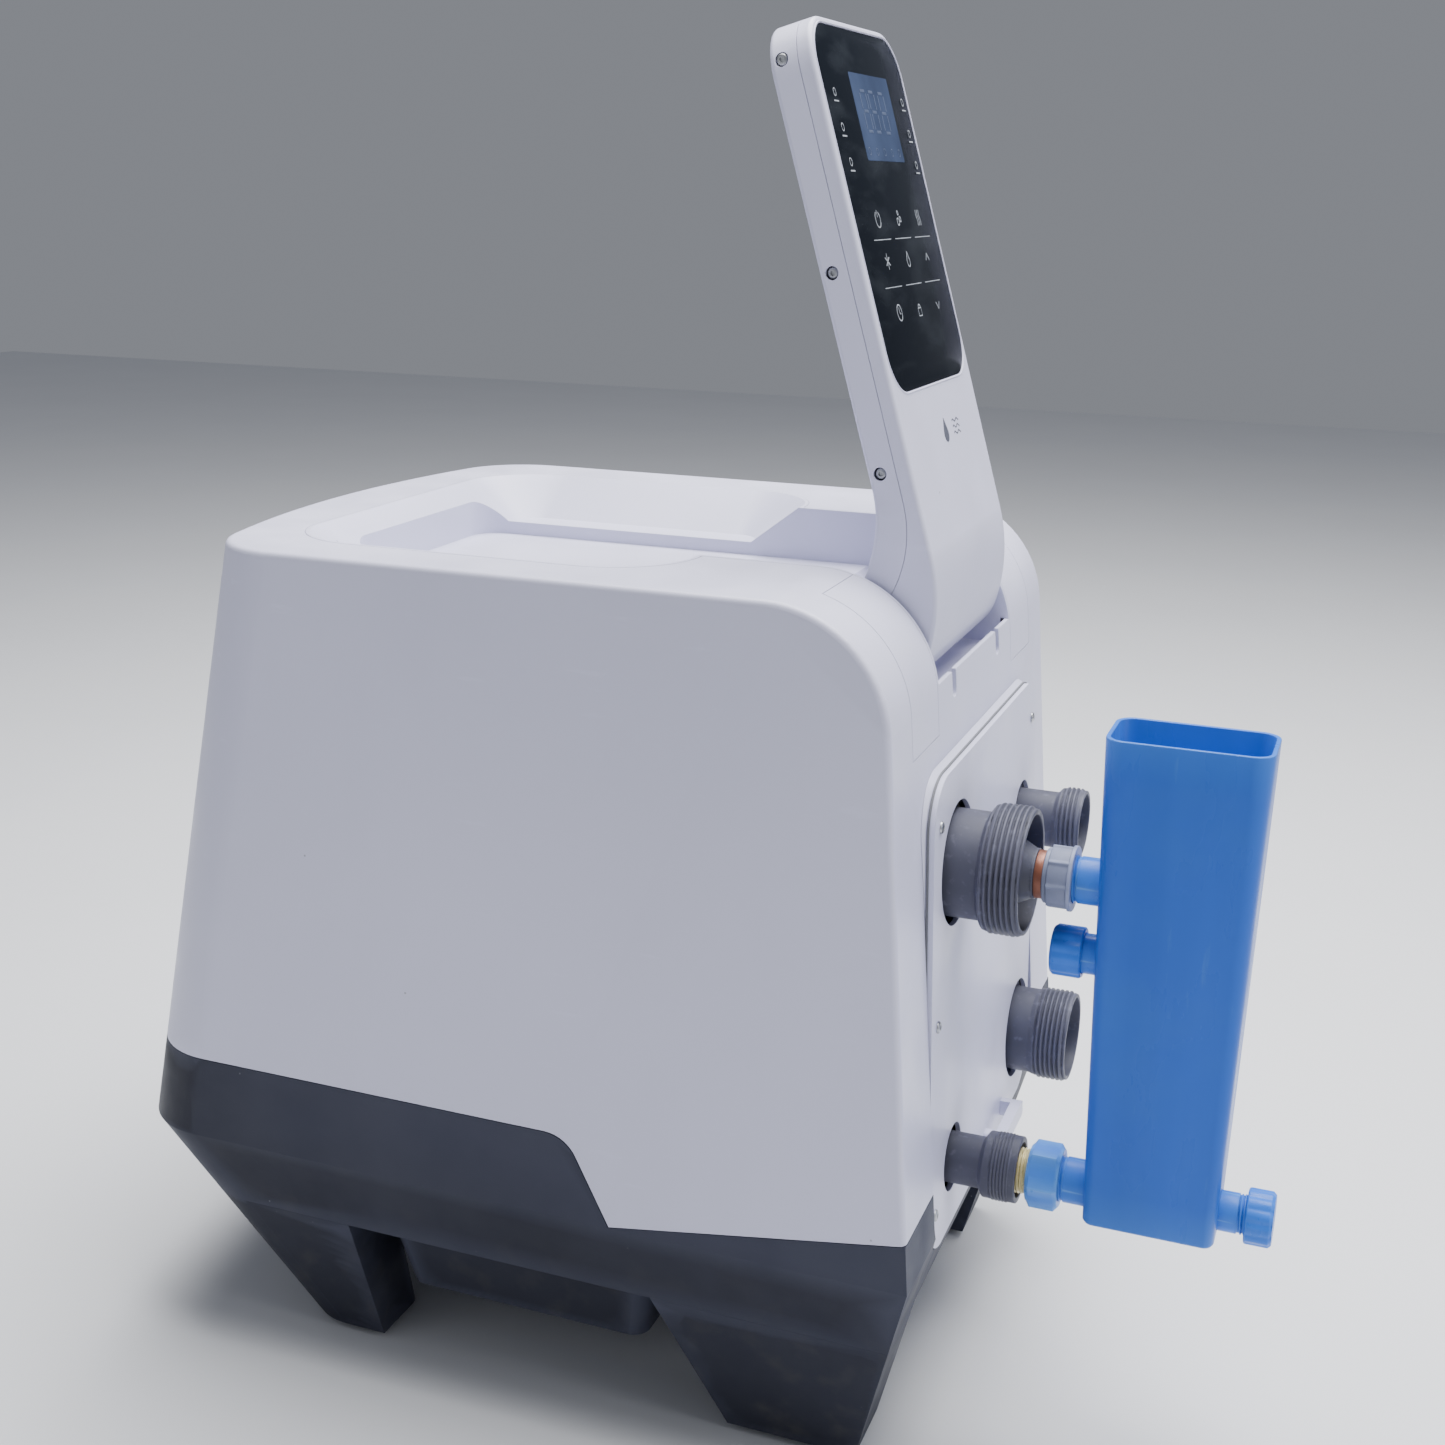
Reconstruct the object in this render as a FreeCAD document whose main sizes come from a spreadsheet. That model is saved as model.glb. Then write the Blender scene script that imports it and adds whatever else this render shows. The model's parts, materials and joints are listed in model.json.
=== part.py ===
"""Pool and spa heat pump unit: shell on a four-legged base, folding control arm, port plate, side vessel.

Built upright in millimetres, +X out of the port face, +Y away from the near side panel, +Z up.
The exported pieces share an origin at the bottom centre of the whole assembly's box.
"""
import FreeCAD, Part
import math
import os
import types

import Sketcher
from FreeCAD import Placement, Rotation, Vector

SIZES = {
    # shell and base
    "top_height": 603, "seam_height": 229, "crease_height": 168, "undercut_height": 112,
    "half_width": 222, "side_lean": 0.022, "port_reach": 306, "port_lean": 0.078,
    "end_reach": 311, "end_lean": 0.198, "end_bow": 750, "end_corner": 60,
    "shoulder": 82, "wall": 3, "edge_round": 4, "seam_gap": 0.6, "seam_lip": 10,
    "seam_bend_x": 68, "seam_drop_x": 100, "seam_drop_height": 168.5, "seam_port_height": 202,
    "seam_round": 26, "side_undercut": 0.273, "port_undercut": 0.26, "end_undercut": 0.7,
    "tub_floor": 4, "pan_depth": 60, "pan_inset": 22, "pan_slope": 14, "pan_keel": 104,
    # legs
    "foot_half_span": 176, "foot_depth": 52, "leg_depth": 66, "pad_thickness": 6, "pad_inset": 9, "pad_round": 8,
    "port_leg_inner": 124, "port_foot_inner": 171, "port_foot_outer": 262, "end_leg_inner": 112,
    "end_foot_inner": 104, "end_foot_outer": 172, "leg_round": 12, "foot_skin": 5,
    # top tray
    "dish_half": 165, "dish_end": 172, "dish_port": 112, "dish_depth": 29.5, "dish_slope": 38,
    "dish_corner": 58, "trough_depth": 39.5, "trough_half": 101, "trough_end": 156, "trough_corner": 22,
    "tray_skin": 3, "tray_gap": 0.4, "ramp_start": 168, "well_start": 205, "well_depth": 88, "lip_depth": 70,
    "notch_y": 62, "notch_radius": 5, "notch_depth": 13,
    "cover_start": 218.5, "cover_outer": 167, "cover_gap": 0.5, "cover_depth": 103,
    # control arm, measured along (s) and across (t) the arm from the hinge axis
    "hinge_x": 237, "hinge_depth": 48, "arm_lean": 16.3, "arm_half": 98, "arm_length": 386,
    "arm_front": 46.5, "arm_back": 18, "knuckle": 32, "front_bend": 50, "back_bend": 100,
    "split": 36.3, "split_bend": 85, "split_gap": 0.35, "arm_wall": 2.6, "arm_corner": 34, "arm_edge": 3,
    "glass_low": 151, "glass_high": 381, "glass_half": 92, "glass_corner": 27, "glass_thick": 2.2,
    "glass_gap": 0.4, "lcd_length": 57, "lcd_width": 96, "lcd_low": 296, "lcd_y": 8, "lcd_thick": 3,
    "board_thick": 1.6, "arm_screw": 4, "arm_screw_t": 26, "pin_radius": 6, "bush_radius": 10,
    "boss_radius": 14, "boss_depth": 12, "pin_reach": 130, "running": 0.05,
    # port plate and hose tails
    "plate_x": 297, "plate_height": 300, "plate_lean": 1.9, "plate_half": 152, "plate_low": 146,
    "plate_high": 480, "plate_corner": 34, "plate_thick": 3.5, "gasket_thick": 1.4, "frame_flare": 20,
    "frame_depth": 17, "frame_thick": 4, "plate_gap": 1.2, "plate_opening": 30, "plate_screw": 4,
    "screw_inset": 16, "screw_margin": 30, "plate_hole_gap": 6,
    "ledge_length": 62, "ledge_rise": 12, "ledge_reach": 16, "ledge_y": 4, "ledge_z": 154,
    "near_y": -90, "far_top_y": 109, "far_low_y": 111,
    "big_z": 411, "big_neck": 36, "big_thread": 43, "big_bore": 32, "big_mouth": 38,
    "big_start": 316, "big_end": 342,
    "small_z": 196, "small_neck": 17.6, "small_thread": 23.2, "small_bore": 14, "small_mouth": 18.6,
    "small_start": 325, "small_end": 348,
    "filter_z": 380, "filter_neck": 21, "filter_thread": 26, "filter_bore": 17, "filter_mouth": 22,
    "filter_start": 324, "filter_end": 342,
    "drain_z": 204, "drain_neck": 32.5, "drain_thread": 35, "drain_bore": 28, "drain_mouth": 30.5,
    "drain_start": 318, "drain_end": 344.5,
    "tail_root": 276, "thread_pitch": 3.6, "thread_depth": 1.5, "seal_width": 6,
    # vessel and its fittings
    "vessel_x": 437, "vessel_y": -89, "vessel_top": 514.5, "vessel_low": 178, "vessel_long": 102,
    "vessel_wide": 59, "vessel_taper": 8.4, "vessel_side_taper": 4.2, "vessel_corner": 14,
    "vessel_wall": 3, "vessel_floor": 4, "stub_radius": 15.4, "stub_bore": 10, "stub_gap": 0.4,
    "stub_pitch": 2.4, "stub_depth": 0.9, "stub_groove": 1,
    "upper_z": 411, "middle_z": 361, "lower_z": 196, "nut_start": 352, "nut_length": 19, "nut_radius": 20.2,
    "nut_rib": 1.2, "nut_ribs": 8,
    "hex_start": 354.3, "hex_length": 21.7, "hex_flats": 39.5, "cap_start": 359.5, "cap_length": 20.5,
    "cap_radius": 17, "cap_stub": 13.2, "outlet_start": 497, "outlet_end": 514.6, "outlet_radius": 18.4,
    "cap_flutes": 12, "cap_flute": 1.2, "cap_round": 1.5, "cap_end": 3,
    "ring_start": 346.2, "ring_radius": 15.8, "ring_bore": 11, "reducer_flange": 8, "reducer_root": 24,
    # works inside the housing
    "can_radius": 60, "can_height": 200, "can_x": -40, "can_y": -45, "mount_height": 14,
    "coil_low_x": -150, "coil_length": 300, "coil_near_y": 168, "coil_thick": 32,
    "coil_height": 374, "condenser_radius": 62, "condenser_x": -90, "condenser_length": 280,
    "condenser_y": 90, "condenser_z": 226, "fan_radius": 122, "fan_z": 370, "fan_x": -212,
    "fan_depth": 34, "fan_motor_radius": 38, "fan_motor_length": 56, "fan_hub": 34, "fan_shaft": 5,
    "guard_radius": 130, "slot_height": 7, "slot_pitch": 13, "intake_half": 120, "intake_low": 250,
    "intake_high": 520, "pump_radius": 48, "pump_x": 146, "pump_length": 56, "pump_motor_radius": 42,
    "pump_motor_length": 104, "pump_rotor": 34, "blower_radius": 66, "blower_x": 108, "blower_length": 84,
    "blower_motor_radius": 40, "blower_motor_length": 60, "blower_rotor": 52, "box_x": -70, "box_length": 200,
    "box_y": 22, "box_width": 120, "box_low": 392, "box_height": 110, "box_wall": 2.5,
    "hose_wall": 2.5, "line_radius": 4, "gland_radius": 11, "gland_y": 118, "gland_z": 262,
    "fit_gap": 0.3,
}

doc = FreeCAD.newDocument("heat_pump_unit")
sheet = doc.addObject("Spreadsheet::Sheet", "Sizes")
for row, (alias, number) in enumerate(SIZES.items(), start=1):
    sheet.set(f"A{row}", alias)
    sheet.set(f"B{row}", str(number))
    sheet.setAlias(f"B{row}", alias)
doc.recompute()

X_AXIS, Y_AXIS, Z_AXIS = Vector(1, 0, 0), Vector(0, 1, 0), Vector(0, 0, 1)
ALONG = {
    "x": Rotation(Z_AXIS, X_AXIS),
    "y": Rotation(Z_AXIS, Y_AXIS),
    "z": Rotation(),
}
STANDING = Rotation(Y_AXIS, Z_AXIS, X_AXIS, "ZXY")
NEAR, FAR = -1, 1


class Size:
    """A driving size or a sum of them: its value, and the expression that ties a property to it."""

    def __init__(self, value, text=None):
        self.value = float(value)
        self.text = text or repr(float(value))

    def join(self, sign, other, value):
        return Size(value, f"({self.text} {sign} {other.text})")

    def __add__(self, other):
        other = as_size(other)
        return self.join("+", other, self.value + other.value)

    def __sub__(self, other):
        other = as_size(other)
        return self.join("-", other, self.value - other.value)

    def __mul__(self, other):
        other = as_size(other)
        return self.join("*", other, self.value * other.value)

    def __truediv__(self, other):
        other = as_size(other)
        return self.join("/", other, self.value / other.value)

    def __radd__(self, other):
        return as_size(other) + self

    def __rsub__(self, other):
        return as_size(other) - self

    def __rmul__(self, other):
        return as_size(other) * self

    def __neg__(self):
        return 0 - self

    def __float__(self):
        return self.value


def as_size(item):
    return item if isinstance(item, Size) else Size(item)


S = types.SimpleNamespace(**{alias: Size(sheet.get(alias), f"Sizes.{alias}") for alias in SIZES})
N = types.SimpleNamespace(**{alias: float(sheet.get(alias)) for alias in SIZES})
BELOW_TOP = {
    # height: its depth below the housing's top
    "dish_floor": S.dish_depth, "trough_floor": S.trough_depth, "well_floor": S.well_depth,
    "lip_height": S.lip_depth, "cover_foot": S.cover_depth, "hinge_height": S.hinge_depth,
}
for level, depth in BELOW_TOP.items():
    setattr(S, level, S.top_height - depth)
    setattr(N, level, float(getattr(S, level)))
nodes = []
cradles = []


# ---------------------------------------------------------------- helpers on the document

def tie(item, prop, size):
    """Bind one property to the sheet."""
    item.setExpression(prop, as_size(size).text)


def put(item, x=0, y=0, z=0, turn=None):
    """Place an object by bound coordinates, turned by a fixed rotation."""
    if turn is not None:
        item.Placement = Placement(Vector(), turn)
    for axis, size in zip("xyz", (x, y, z)):
        tie(item, f"Placement.Base.{axis}", size)
    return item


def block(name, x, y, z):
    """Box from (low, high) pairs."""
    item = doc.addObject("Part::Box", name)
    for prop, (low, high) in zip(("Length", "Width", "Height"), (x, y, z)):
        tie(item, prop, as_size(high) - low)
    return put(item, x[0], y[0], z[0])


def rod(name, axis, radius, length, x, y, z):
    """Cylinder that starts at (x, y, z) and runs along a positive axis."""
    item = doc.addObject("Part::Cylinder", name)
    tie(item, "Radius", radius)
    tie(item, "Height", length)
    return put(item, x, y, z, ALONG[axis])


def fused(name, parts):
    item = doc.addObject("Part::MultiFuse", name)
    item.Shapes = parts
    return item


def cut(name, base, tools):
    item = doc.addObject("Part::Cut", name)
    item.Base = base
    item.Tool = tools[0] if len(tools) == 1 else fused(f"{name}_tools", tools)
    return item


def common(name, first, second):
    item = doc.addObject("Part::Common", name)
    item.Base = first
    item.Tool = second
    return item


def group(name, parts):
    """Several separate solids in one node."""
    item = doc.addObject("Part::Compound", name)
    item.Links = parts
    return item


def feature(name, shape):
    item = doc.addObject("Part::Feature", name)
    item.Shape = shape
    return item


def node(item, label):
    """Name an object as one of the finished pieces."""
    item.Label = label
    nodes.append(item)
    return item


def pipe(name, axis, outer, inner, length, x, y, z):
    """Cylinder with a through bore."""
    return cut(name, rod(f"{name}_wall", axis, outer, length, x, y, z),
               [rod(f"{name}_bore", axis, inner, length, x, y, z)])


def origin_plane(body, role):
    return [item for item in body.Origin.OriginFeatures if item.Role == role][0]


def hold(sketch, edge, horizontal, vertical):
    """Fix an edge's start point by bound distances, or on a sketch axis where one is nought."""
    for kind, size, axis in (("DistanceX", as_size(horizontal), -2), ("DistanceY", as_size(vertical), -1)):
        if size.value == 0:
            sketch.addConstraint(Sketcher.Constraint("PointOnObject", edge, 1, axis))
            continue
        index = sketch.addConstraint(Sketcher.Constraint(kind, -1, 1, edge, 1, size.value))
        tie(sketch, f"Constraints[{index}]", size)


def outline(body, name, points, plane="XY_Plane"):
    """Closed polygon sketch on one of the body's own planes, each corner bound to the sheet."""
    sketch = body.newObject("Sketcher::SketchObject", name)
    sketch.AttachmentSupport = [(origin_plane(body, plane), "")]
    sketch.MapMode = "FlatFace"
    corners = [Vector(float(u), float(v), 0) for u, v in points]
    for start, end in zip(corners, corners[1:] + corners[:1]):
        sketch.addGeometry(Part.LineSegment(start, end), False)
    count = len(corners)
    for edge in range(count):
        sketch.addConstraint(Sketcher.Constraint("Coincident", edge, 2, (edge + 1) % count, 1))
    for edge, (horizontal, vertical) in enumerate(points):
        hold(sketch, edge, horizontal, vertical)
    return sketch


def turned(name, points, axis, x, y, z):
    """Body of revolution: points are (distance along, radius) pairs from its start."""
    body = doc.addObject("PartDesign::Body", name)
    sketch = outline(body, f"{name}_half", points)
    lathe = body.newObject("PartDesign::Revolution", f"{name}_turn")
    lathe.Profile = sketch
    lathe.ReferenceAxis = (sketch, ["H_Axis"])
    lathe.Angle = 360
    turn = {"x": Rotation(), "y": Rotation(Z_AXIS, 90), "z": Rotation(Y_AXIS, -90)}[axis]
    return put(body, x, y, z, turn)


def padded(name, points, depth, plane="XY_Plane"):
    """Body padded from a polygon along its plane's normal."""
    body = doc.addObject("PartDesign::Body", name)
    pad = body.newObject("PartDesign::Pad", f"{name}_pad")
    pad.Profile = outline(body, f"{name}_outline", points, plane)
    tie(pad, "Length", depth)
    return body, pad


def rounded_slab(name, width, height, depth, corner):
    """Flat rectangle with rounded corners, standing in the YZ plane and growing along +X."""
    body, pad = padded(name, [(0, 0), (width, 0), (width, height), (0, height)], depth, "YZ_Plane")
    doc.recompute()
    across = [f"Edge{number}" for number, edge in enumerate(pad.Shape.Edges, start=1)
              if abs(edge.tangentAt(edge.FirstParameter).x) > 0.9]
    rounding = body.newObject("PartDesign::Fillet", f"{name}_corners")
    rounding.Base = (pad, across)
    tie(rounding, "Radius", corner)
    return body


def on_plate(item, y, z, depth=0):
    """Place a slab or turned body in the leaning plane of the port plate."""
    lean = math.radians(N.plate_lean)
    item.Placement = Placement(Vector(), Rotation(Y_AXIS, -N.plate_lean))
    rise = as_size(z) - S.plate_height
    tie(item, "Placement.Base.x", S.plate_x + as_size(depth) * math.cos(lean) - rise * math.sin(lean))
    tie(item, "Placement.Base.y", y)
    tie(item, "Placement.Base.z", S.plate_height + as_size(depth) * math.sin(lean) + rise * math.cos(lean))
    return item


def plate_x_at(z):
    """X of the port plate's outer face at a height."""
    return S.plate_x - (as_size(z) - S.plate_height) * math.tan(math.radians(N.plate_lean))


# ---------------------------------------------------------------- the tapered envelope of shell and base

def prism(wire, half):
    """Extrude an XZ outline both ways along Y."""
    face = Part.Face(wire)
    face.translate(Vector(0, -half, 0))
    return face.extrude(Vector(0, 2 * half, 0))


def polygon(points):
    corners = [Vector(x, 0, z) for x, z in points]
    return Part.makePolygon(corners + corners[:1])


def port_face_x(height, inset=0):
    lean = math.atan(N.port_lean)
    return N.port_reach - N.port_lean * (height - N.crease_height) - inset / math.cos(lean)


def side_face_y(height, inset=0):
    return N.half_width - N.side_lean * (height - N.crease_height) - inset


def end_face_x(height, inset=0):
    return -N.end_reach + N.end_lean * (height - N.crease_height) + inset


def shoulder_arc(inset):
    """Start, middle and end of the large arc between the port face and the top."""
    radius = N.shoulder - inset
    lean = math.atan(N.port_lean)
    centre_z = N.top_height - N.shoulder
    centre_x = port_face_x(centre_z) - N.shoulder / math.cos(lean)

    def at(angle):
        return Vector(centre_x + radius * math.cos(angle), 0, centre_z + radius * math.sin(angle))

    return at(lean), at((lean + math.pi / 2) / 2), at(math.pi / 2)


def upper_envelope(inset, low):
    """Housing volume from a height up: leaning faces, round shoulder, bowed end with large corners."""
    touch, middle, crown = shoulder_arc(inset)
    top, back = N.top_height - inset, -N.end_reach - 60
    corners = [crown, Vector(back, 0, top), Vector(back, 0, low), Vector(port_face_x(low, inset), 0, low), touch]
    sides = [Part.LineSegment(a, b).toShape() for a, b in zip(corners, corners[1:])]
    solid = prism(Part.Wire([Part.Arc(touch, middle, crown).toShape()] + sides), N.half_width + 60)
    low_y, high_y = side_face_y(low, inset), side_face_y(top + 1, inset)
    section = ((low_y, low), (high_y, top + 1), (-high_y, top + 1), (-low_y, low))
    trapezium = [Vector(back - 10, y, z) for y, z in section]
    slab = Part.Face(Part.makePolygon(trapezium + trapezium[:1]))
    solid = solid.common(slab.extrude(Vector(2 * N.port_reach + 200, 0, 0)))
    lean = math.atan(N.end_lean)
    foot = Vector(end_face_x(N.crease_height) + N.end_bow / math.cos(lean), 0, N.crease_height)
    upward = Vector(math.sin(lean), 0, math.cos(lean))
    drum = Part.makeCylinder(N.end_bow - inset, 1200, foot - upward * 400, upward)
    solid = solid.common(drum)
    slanted = [edge for edge in solid.Edges if edge.BoundBox.XMax < 0 and edge.BoundBox.ZLength > 20]
    return solid.makeFillet(N.end_corner - inset, slanted)


def rounded_upper(low):
    """Outer housing volume with its crisp but rounded rim along the top, the shoulder and the port face."""
    solid = upper_envelope(0, low)
    start, middle, crown = shoulder_arc(0)

    def is_rim(edge):
        box = edge.BoundBox
        along_top = box.ZMin > N.top_height - 0.1 and box.XLength > 0.1
        down_port = box.XMin > crown.x - 5 and box.YLength < 15 and box.ZMax > start.z - 1
        return along_top or down_port

    return solid.makeFillet(N.edge_round, [edge for edge in solid.Edges if is_rim(edge)])


def seam_prism(shift):
    """Everything below the line where the shell ends and the dark base begins, moved by a gap."""
    far_x = N.port_reach + 60
    slope = (N.seam_port_height - N.seam_drop_height) / (N.port_reach - N.seam_drop_x)
    right_z = N.seam_drop_height + slope * (far_x - N.seam_drop_x)
    points = [(-far_x - 40, N.seam_height + shift), (N.seam_bend_x + shift, N.seam_height + shift),
              (N.seam_drop_x + shift, N.seam_drop_height + shift), (far_x, right_z + shift),
              (far_x, -20), (-far_x - 40, -20)]
    solid = prism(polygon(points), N.half_width + 50)
    bend = [edge for edge in solid.Edges
            if abs(edge.CenterOfMass.x - points[1][0]) < 0.1 and abs(edge.CenterOfMass.z - points[1][1]) < 0.1]
    return solid.makeFillet(N.seam_round, bend)


def undercut_wire(height, inset):
    """The envelope's outline at the crease, drawn in evenly for a height below it."""
    crease = N.crease_height
    drop = crease - height
    outline_at_crease = upper_envelope(inset, crease - 10).slice(Z_AXIS, crease)[0]
    left, right = end_face_x(crease, inset), port_face_x(crease, inset)
    new_left, new_right = left + N.end_undercut * drop, right - N.port_undercut * drop
    side = side_face_y(crease, inset)
    scale_x = (new_right - new_left) / (right - left)
    matrix = FreeCAD.Matrix(scale_x, 0, 0, new_left - left * scale_x,
                            0, (side - N.side_undercut * drop) / side, 0, 0,
                            0, 0, 1, -drop)
    return outline_at_crease.transformGeometry(matrix)


def undercut_volume(low, high, inset):
    return Part.makeLoft([undercut_wire(low, inset), undercut_wire(high, inset)], True, True)


def side_box(x, y, z):
    return Part.makeBox(x[1] - x[0], y[1] - y[0], z[1] - z[0], Vector(x[0], y[0], z[0]))


SIDE_WALL = (N.half_width - 32, N.half_width + 18)


def span(side, low, high):
    """A Y range on the near or the far side."""
    return (low, high) if side == FAR else (-high, -low)


def cover_zone(side, gap):
    low, high = span(side, N.trough_half + N.tray_skin + gap, N.cover_outer - gap)
    return side_box((N.cover_start + gap, 400), (low, high), (N.cover_foot + gap, N.top_height + 20))


def in_plate_frame(shape):
    """Move a shape drawn about the plate's own plane (X out of it, Z up it) to its place."""
    shape.Placement = Placement(Vector(N.plate_x, 0, N.plate_height), Rotation(Y_AXIS, -N.plate_lean))
    return shape


def plate_slab(grow, back, front):
    """Block with the plate's outline, grown all round, between two depths of the plate's own plane."""
    low, high = N.plate_low - N.plate_height - grow, N.plate_high - N.plate_height + grow
    wire = rounded_wire((-N.plate_half - grow, N.plate_half + grow), (low, high), 0, N.plate_corner + grow)
    wire.Placement = Placement(Vector(back, 0, 0), STANDING)
    return Part.Face(wire).extrude(Vector(front - back, 0, 0))


def plate_pocket():
    """Room that the shell and the base leave for the port plate and the frame behind it."""
    back = N.plate_thick + N.gasket_thick + N.frame_thick
    return in_plate_frame(plate_slab(N.plate_gap, -back - 0.3, 40))


def outer_shell():
    low = N.crease_height - 5
    shell = rounded_upper(low).cut(upper_envelope(N.wall, low - 5))
    shell = shell.cut(seam_prism(N.seam_gap))
    tray = dish(N.tray_skin + N.tray_gap, N.top_height - 12, N.top_height + 5)
    half = N.trough_half + N.tray_skin + N.tray_gap
    slot = side_box((N.dish_port - 60, 400), (-half, half), (N.lip_height, N.top_height + 20))
    shell = shell.cut(tray).cut(slot)
    for side in (NEAR, FAR):
        shell = shell.cut(cover_zone(side, 0))
        notch_y = side * N.notch_y
        notch = Part.makeCylinder(N.notch_radius, 60, Vector(250, notch_y, N.lip_height - N.notch_depth), X_AXIS)
        channel = side_box((250, 310), (notch_y - N.notch_radius, notch_y + N.notch_radius),
                           (N.lip_height - N.notch_depth, N.lip_height + 5))
        shell = shell.cut(notch).cut(channel)
    window = side_box((240, 330), (-N.plate_half + N.plate_opening, N.plate_half - N.plate_opening),
                      (N.plate_low - 10, N.plate_high - N.plate_opening))
    shell = shell.cut(window).cut(plate_pocket()).cut(tail_ways(N.seal_width + N.fit_gap))
    shell = shell.cut(Part.makeCylinder(N.guard_radius + N.fit_gap, 160, Vector(-360, 0, N.fan_z), X_AXIS))
    intake = side_box((-N.intake_half - N.fit_gap, N.intake_half + N.fit_gap), SIDE_WALL,
                      (N.intake_low - N.fit_gap, N.intake_high + N.fit_gap))
    shell = shell.cut(intake)
    gland = Part.makeCylinder(N.gland_radius - 3, 80, Vector(-330, N.gland_y, N.gland_z), X_AXIS)
    return shell.cut(gland)


# ---------------------------------------------------------------- top tray

def rounded_wire(x, y, height, corner):
    """Level rectangle with rounded corners."""
    (left, right), (near, far) = x, y
    slant = corner * (1 - math.sqrt(0.5))

    def point(px, py):
        return Vector(px, py, height)

    edges = [
        Part.LineSegment(point(left + corner, near), point(right - corner, near)),
        Part.Arc(point(right - corner, near), point(right - slant, near + slant), point(right, near + corner)),
        Part.LineSegment(point(right, near + corner), point(right, far - corner)),
        Part.Arc(point(right, far - corner), point(right - slant, far - slant), point(right - corner, far)),
        Part.LineSegment(point(right - corner, far), point(left + corner, far)),
        Part.Arc(point(left + corner, far), point(left + slant, far - slant), point(left, far - corner)),
        Part.LineSegment(point(left, far - corner), point(left, near + corner)),
        Part.Arc(point(left, near + corner), point(left + slant, near + slant), point(left + corner, near)),
    ]
    return Part.Wire([edge.toShape() for edge in edges])


def dish_wire(height, grow):
    """Outline of the sloping dish at a height; its slope is the same all round."""
    drop = N.top_height - height
    inset = N.dish_slope * drop / (N.top_height - N.dish_floor) - grow
    return rounded_wire((-N.dish_end + inset, N.dish_port - inset), (-N.dish_half + inset, N.dish_half - inset),
                        height, N.dish_corner - inset)


def dish(grow, low, high):
    return Part.makeLoft([dish_wire(low, grow), dish_wire(high, grow)], True, True)


def trough(grow, low):
    """Bed of the folded arm: a level channel from its round-cornered end to the hinge well."""
    half = N.trough_half + grow
    wires = [rounded_wire((-N.trough_end - grow, 330), (-half, half), height, N.trough_corner)
             for height in (low, N.top_height + 5)]
    return Part.makeLoft(wires, True, True)


def well(grow):
    """Deep pocket that the knuckle of the arm turns in, behind a ramp and open to the port face."""
    run, rise = N.well_start - N.ramp_start, N.trough_floor - N.well_floor
    slope = math.hypot(run, rise)
    back = N.ramp_start - grow * rise / slope
    foot = N.well_start - grow * (slope - run) / rise
    drop = grow * run / slope
    beyond, above, floor = N.port_reach + 30, N.top_height + 5, N.well_floor - grow
    corners = [(back, N.trough_floor - drop), (foot, floor), (beyond, floor), (beyond, above), (back, above)]
    return prism(polygon(corners), N.trough_half + grow)


def top_tray():
    skin = N.tray_skin
    solid = dish(skin, N.dish_floor - skin, N.top_height)
    bed = trough(skin, N.trough_floor - skin)
    solid = solid.fuse(bed).fuse(well(skin)).common(upper_envelope(0, N.crease_height))
    solid = solid.cut(dish(0, N.dish_floor, N.top_height + 1)).cut(trough(0, N.trough_floor)).cut(well(0))
    lip_half = N.trough_half + 8
    lip_start = max(N.well_start, N.hinge_x + N.knuckle + 2)
    solid = solid.cut(side_box((lip_start, 400), (-lip_half, lip_half), (N.well_floor - 8, N.lip_height)))
    pin_end = Vector(N.hinge_x, -N.pin_reach, N.hinge_height)
    return solid.cut(Part.makeCylinder(N.pin_radius + 0.4, 2 * N.pin_reach, pin_end, Y_AXIS)).removeSplitter()


def shoulder_covers():
    skin = upper_envelope(0, N.crease_height).cut(upper_envelope(N.wall, N.crease_height - 5))
    return Part.Compound([skin.common(cover_zone(side, N.cover_gap)) for side in (NEAR, FAR)])


# ---------------------------------------------------------------- grilles

def slot_bars(axis, centre, half, low, high):
    """Cutting boxes for a stack of level slots, with a rib left standing in the middle."""
    boxes = []
    height = low
    rib = 5
    while height + N.slot_height < high:
        for start, end in ((centre - half, centre - rib), (centre + rib, centre + half)):
            if axis == "y":
                boxes.append(side_box((start, end), SIDE_WALL, (height, height + N.slot_height)))
            else:
                boxes.append(side_box((-400, -100), (start, end), (height, height + N.slot_height)))
        height += N.slot_pitch
    return Part.Compound(boxes)


def intake_grille():
    skin = upper_envelope(0, N.crease_height).cut(upper_envelope(N.wall, N.crease_height - 5))
    panel = skin.common(side_box((-N.intake_half, N.intake_half), SIDE_WALL, (N.intake_low, N.intake_high)))
    margin = 10
    return panel.cut(slot_bars("y", 0, N.intake_half - margin, N.intake_low + margin, N.intake_high - margin))


def fan_guard():
    skin = upper_envelope(0, N.crease_height).cut(upper_envelope(N.wall, N.crease_height - 5))
    disc = skin.common(Part.makeCylinder(N.guard_radius, 160, Vector(-360, 0, N.fan_z), X_AXIS))
    field = Part.makeCylinder(N.guard_radius - 9, 200, Vector(-370, 0, N.fan_z), X_AXIS)
    slots = slot_bars("x", 0, N.guard_radius, N.fan_z - N.guard_radius, N.fan_z + N.guard_radius)
    hub = Part.makeCylinder(24, 200, Vector(-370, 0, N.fan_z), X_AXIS)
    return disc.cut(slots.common(field).cut(hub))


# ---------------------------------------------------------------- base, pan and legs

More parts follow.
